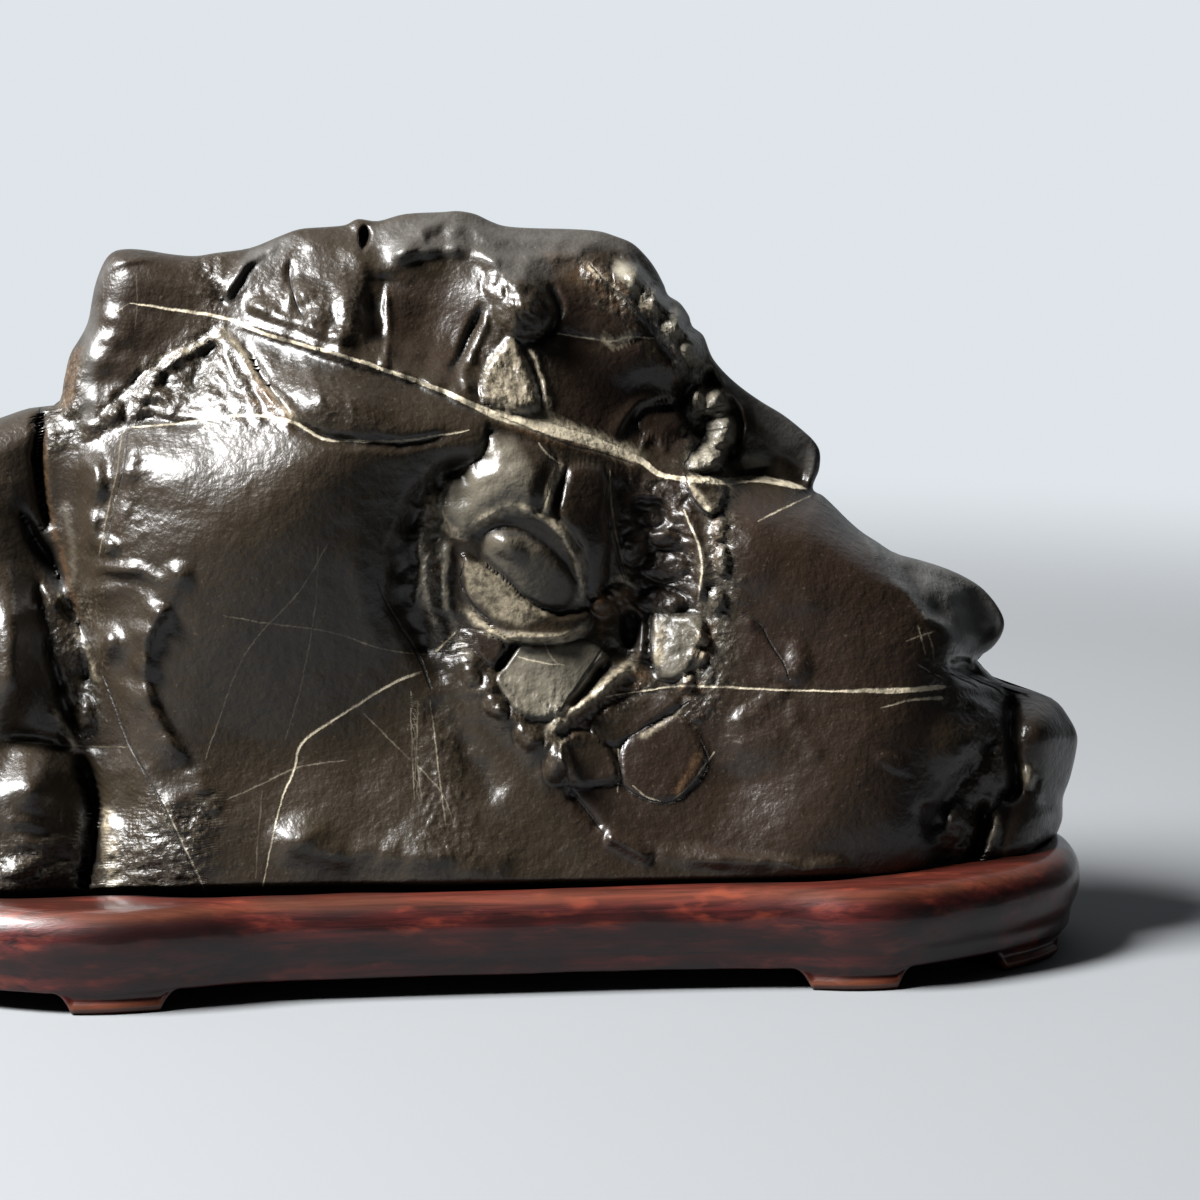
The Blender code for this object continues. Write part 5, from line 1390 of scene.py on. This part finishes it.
class ROCK_OT_stone(bpy.types.Operator):
    """Shape the stone: the front from the sheet's tables, the back plainer, both on one outline"""
    bl_idname = "scholars_rock.stone"
    bl_label = "Shape the stone"

    def execute(self, context):
        s = context.scene.rock_stone
        half_columns, half_rows = s.columns // 2, s.rows // 2
        columns, rows = 2 * half_columns, 2 * half_rows
        deep = rows + 1
        front, front_found, front_lines = front_side(columns, rows)
        back, back_found, back_lines = back_side(half_columns, half_rows)

        # join the two: the back's rim is every second point of the front's rim, and a back face
        # there also takes the odd point between
        number = np.full(back.shape[:2], -1)
        number[1:-1, 1:-1] = (np.arange((half_columns - 1) * (half_rows - 1)).reshape(
            half_columns - 1, half_rows - 1) + (columns + 1) * deep)
        faces = [(i * deep + j, i * deep + j + 1, (i + 1) * deep + j + 1, (i + 1) * deep + j)
                 for i in range(columns) for j in range(rows)]
        for i in range(half_columns):
            for j in range(half_rows):
                loop = []
                for p, q, x, y in ((i, j, 1, 0), (i + 1, j, 0, 1), (i + 1, j + 1, -1, 0),
                                   (i, j + 1, 0, -1)):
                    loop.append(int(number[p, q]) if number[p, q] >= 0 else 2 * p * deep + 2 * q)
                    on_rim = (q in (0, half_rows)) if x else (p in (0, half_columns))
                    if on_rim:
                        loop.append((2 * p + x) * deep + 2 * q + y)
                faces.append(tuple(loop))

        def joined(of_front, of_back, *width):
            return np.concatenate([of_front.reshape(-1, *width), of_back[1:-1, 1:-1].reshape(-1, *width)])

        stone = new_piece("ScholarsStone", joined(front, back, 3), faces, waxed_limestone(s))
        for name in MASKS:
            set_field(stone, name, joined(front_found[name], back_found[name]))
        for k in range(LINE_SETS):
            set_field(stone, "lines_%d" % k, joined(front_lines[k], back_lines[k], 3))
        place_piece(stone, "rock")
        return {"FINISHED"}


def carver_cuts(material):
    """Geometry nodes that dress a surface with a carver's long shallow cuts."""
    tree = bpy.data.node_groups.new("CarverCuts", "GeometryNodeTree")
    for name, way, kind in (("Geometry", "INPUT", "NodeSocketGeometry"),
                            ("Cut Depth", "INPUT", "NodeSocketFloat"),
                            ("Cut Length", "INPUT", "NodeSocketFloat"),
                            ("Geometry", "OUTPUT", "NodeSocketGeometry")):
        tree.interface.new_socket(name, in_out=way, socket_type=kind)
    given = node(tree, "NodeGroupInput").outputs
    place = node(tree, "GeometryNodeInputPosition")
    run = node(tree, "ShaderNodeVectorMath", {"operation": "MULTIPLY", 1: (0.55, 1.0, 2.2)}, {0: place})
    per_cut = node(tree, "ShaderNodeMath", {"operation": "DIVIDE", 0: 1.0}, {1: given["Cut Length"]})
    cells = node(tree, "ShaderNodeTexVoronoi", {"feature": "SMOOTH_F1", "Smoothness": 0.35,
                                                "Randomness": 0.8},
                 {"Vector": run, "Scale": per_cut}).outputs["Distance"]
    lift = node(tree, "ShaderNodeMath", {"operation": "MULTIPLY"}, {0: cells, 1: given["Cut Depth"]})
    hand = node(tree, "GeometryNodeInputNamedAttribute", {"data_type": "FLOAT", "Name": "carved"})
    lift = node(tree, "ShaderNodeMath", {"operation": "MULTIPLY"}, {0: lift, 1: hand})
    out = node(tree, "GeometryNodeInputNormal")
    move = node(tree, "ShaderNodeVectorMath", {"operation": "SCALE"}, {0: out, "Scale": lift})
    moved = node(tree, "GeometryNodeSetPosition", links={"Geometry": given["Geometry"], "Offset": move})
    real = node(tree, "GeometryNodeRealizeInstances", links={"Geometry": moved})
    finish = node(tree, "GeometryNodeSetMaterial", {"Material": material}, {"Geometry": real})
    node(tree, "NodeGroupOutput", links={0: finish})
    return tree


def stone_reach(stone):
    """How far the stone reaches from the middle of the stand, by bearing, at the rim's height."""
    co = np.zeros(len(stone.data.vertices) * 3)
    stone.data.vertices.foreach_get("co", co)
    co = co.reshape(-1, 3) / MM
    low = co[(co[:, 2] > RIM_BAND[0]) & (co[:, 2] < RIM_BAND[1])]
    slot = (np.arctan2(low[:, 1], low[:, 0]) / (2 * math.pi) * BEARINGS).astype(int) % BEARINGS
    wide = np.zeros(BEARINGS)
    np.maximum.at(wide, slot, np.hypot(low[:, 0], low[:, 1]))
    for k in np.where(wide == 0)[0]:
        wide[k] = max(wide[k - 1], wide[(k + 1) % BEARINGS])
    return np.convolve(np.concatenate([wide[-2:], wide, wide[:2]]), [0.1, 0.2, 0.4, 0.2, 0.1], "valid")


class ROCK_OT_stand(bpy.types.Operator):
    """Carve the stand around the stone: moulded face, six feet and a fitted recess"""
    bl_idname = "scholars_rock.stand"
    bl_label = "Carve the stand"

    def execute(self, context):
        s = context.scene.rock_stand
        n = s.columns
        line = smooth_line(STAND_PLAN, closed=True, per=40)
        step = np.hypot(*(np.roll(line, -1, axis=0) - line).T)
        run = np.concatenate([[0.0], np.cumsum(step)])
        at = np.linspace(0, run[-1], n, endpoint=False)
        plan = np.stack([np.interp(at, run, np.append(line[:, k], line[0, k])) for k in (0, 1)], 1)
        heading = np.roll(plan, -2, axis=0) - np.roll(plan, 2, axis=0)
        inward = np.stack([-heading[:, 1], heading[:, 0]], 1)
        inward /= np.linalg.norm(inward, axis=1)[:, None]

        # how much of a foot each column holds: 1 on a foot, down to 0 through its bracket
        foot = np.zeros(n)
        for middle in FEET:
            nearest = np.argmin(np.hypot(*(plan - middle).T))
            off = np.abs((at - at[nearest] + run[-1] / 2) % run[-1] - run[-1] / 2)
            past = np.clip((off - FOOT_HALF) / FOOT_BRACKET, 0, 1)
            foot = np.maximum(foot, (1 - past) ** BRACKET_POWER)

        def level(inset, height):
            ring = plan + inward * np.reshape(inset, (-1, 1))
            return np.column_stack([ring, np.broadcast_to(height, n)])

        def scaled(ring, share, height):
            return np.column_stack([ring[:, :2] * np.reshape(share, (-1, 1)), np.full(n, height)])

        # rings of the surface: out over the underside, up the face, in over the rim, down the recess
        bottom = level(UNDERSIDE_INSET, APRON_BOTTOM)
        rings = [scaled(bottom, share, APRON_BOTTOM) for share in (0.06, 0.4, 0.75)]
        for height, on_foot, off_foot in reversed(UNDERSIDE):
            rings.append(level(off_foot + (on_foot - off_foot) * foot,
                               APRON_BOTTOM + (height - APRON_BOTTOM) * foot))
        first_face = len(rings)
        for z0, in0, z1, in1 in LOWER_EDGE:
            rings.append(level(in0 + (in1 - in0) * foot, z0 + (z1 - z0) * foot))
        rings += [level(inset, height) for height, inset in smooth_line(FACE_SECTION, per=3)]
        top = rings[-1]
        turn = np.arctan2(top[:, 1], top[:, 0]) / (2 * math.pi) * BEARINGS
        wide = stone_reach(bpy.data.objects["ScholarsStone"])
        edge = np.interp(turn, np.arange(-BEARINGS, 2 * BEARINGS) + 0.5, np.tile(wide, 3)) + RECESS_GAP
        far = np.hypot(top[:, 0], top[:, 1])
        edge = np.minimum(edge, far - RIM_LEFT)
        for share, drop in RIM_ROLL:
            rings.append(scaled(top, (far + (edge - far) * share) / far, STAND_TOP - drop))
        rings.append(scaled(top, edge * RECESS_DRAFT / far, STAND_TOP - RECESS_STEP))
        last = rings[-1]
        rings += [scaled(last, share, RECESS_FLOOR) for share in (0.97, 0.6, 0.06)]
        points = np.concatenate(rings + [np.array([[0, 0, APRON_BOTTOM], [0, 0, RECESS_FLOOR]])]) * MM
        count = len(rings)
        faces = [(r * n + k, r * n + (k + 1) % n, (r + 1) * n + (k + 1) % n, (r + 1) * n + k)
                 for r in range(count - 1) for k in range(n)]
        faces += [((k + 1) % n, k, count * n) for k in range(n)]
        faces += [((count - 1) * n + k, (count - 1) * n + (k + 1) % n, count * n + 1) for k in range(n)]
        wood = lacquered_rosewood(s)
        stand = new_piece("CarvedStand", points, faces, wood)

        # masks: rubbed edges that also carry a painted highlight, painted shade in the recess and under
        # the stand, and where the carver's cuts show
        z = points[:, 2] / MM
        feet = np.append(np.tile(foot, count), [0, 0])
        ring_of = np.append(np.repeat(np.arange(count), n), [0, count])
        outside = ring_of > first_face
        # lighter along the rim and the feet: wear and a painted highlight
        worn = np.exp(-((z - RIM_EDGE) / RIM_EDGE_RUN) ** 2) * 0.5 * outside
        worn += feet * np.exp(-((z - FOOT_EDGE) / FOOT_EDGE_RUN) ** 2) * outside
        recess_rings = len(RIM_ROLL) + 3
        shade = (ring_of < first_face) | (ring_of > count - recess_rings)
        carved = outside & (ring_of < count - recess_rings - 1)
        for name, values in (("worn", worn), ("shade", shade), ("carved", carved)):
            set_field(stand, name, values)
        tree = carver_cuts(wood)
        cuts = stand.modifiers.new("CarverCuts", "NODES")
        cuts.node_group = tree
        given = {"Cut Depth": s.cut_depth, "Cut Length": s.cut_length}
        for item in tree.interface.items_tree:
            if item.name in given:
                cuts[item.identifier] = given[item.name]
        context.view_layer.update()
        evaluated = stand.evaluated_get(context.evaluated_depsgraph_get())
        carved_mesh = bpy.data.meshes.new_from_object(evaluated)
        stand.modifiers.remove(cuts)
        stand.data = carved_mesh
        place_piece(stand, "stand")
        return {"FINISHED"}


class ROCK_PT_panel(bpy.types.Panel):
    """Lists the pieces in the order they are made"""
    bl_label = "Scholars Rock"
    bl_idname = "ROCK_PT_panel"
    bl_space_type = "VIEW_3D"
    bl_region_type = "UI"
    bl_category = "Rock"

    def draw(self, context):
        for step, (group, _) in GROUPS.items():
            box = self.layout.box()
            box.operator("scholars_rock." + step)
            settings = getattr(context.scene, group)
            for name in settings.bl_rna.properties.keys():
                if name not in ("rna_type", "name"):
                    box.prop(settings, name)


GROUPS = {"stage": ("rock_stage", StageSettings), "stone": ("rock_stone", StoneSettings),
          "stand": ("rock_stand", StandSettings)}
CLASSES = (StoneSettings, StandSettings, StageSettings, ROCK_OT_stage, ROCK_OT_stone, ROCK_OT_stand,
           ROCK_PT_panel)


def register():
    for kind in CLASSES:
        bpy.utils.register_class(kind)
    for group, settings in GROUPS.values():
        setattr(bpy.types.Scene, group, PointerProperty(type=settings))


def unregister():
    for group, _ in GROUPS.values():
        delattr(bpy.types.Scene, group)
    for kind in reversed(CLASSES):
        bpy.utils.unregister_class(kind)


def main():
    register()
    bpy.ops.scholars_rock.stage()
    bpy.ops.scholars_rock.stone()
    bpy.ops.scholars_rock.stand()


if __name__ == "__main__":
    main()
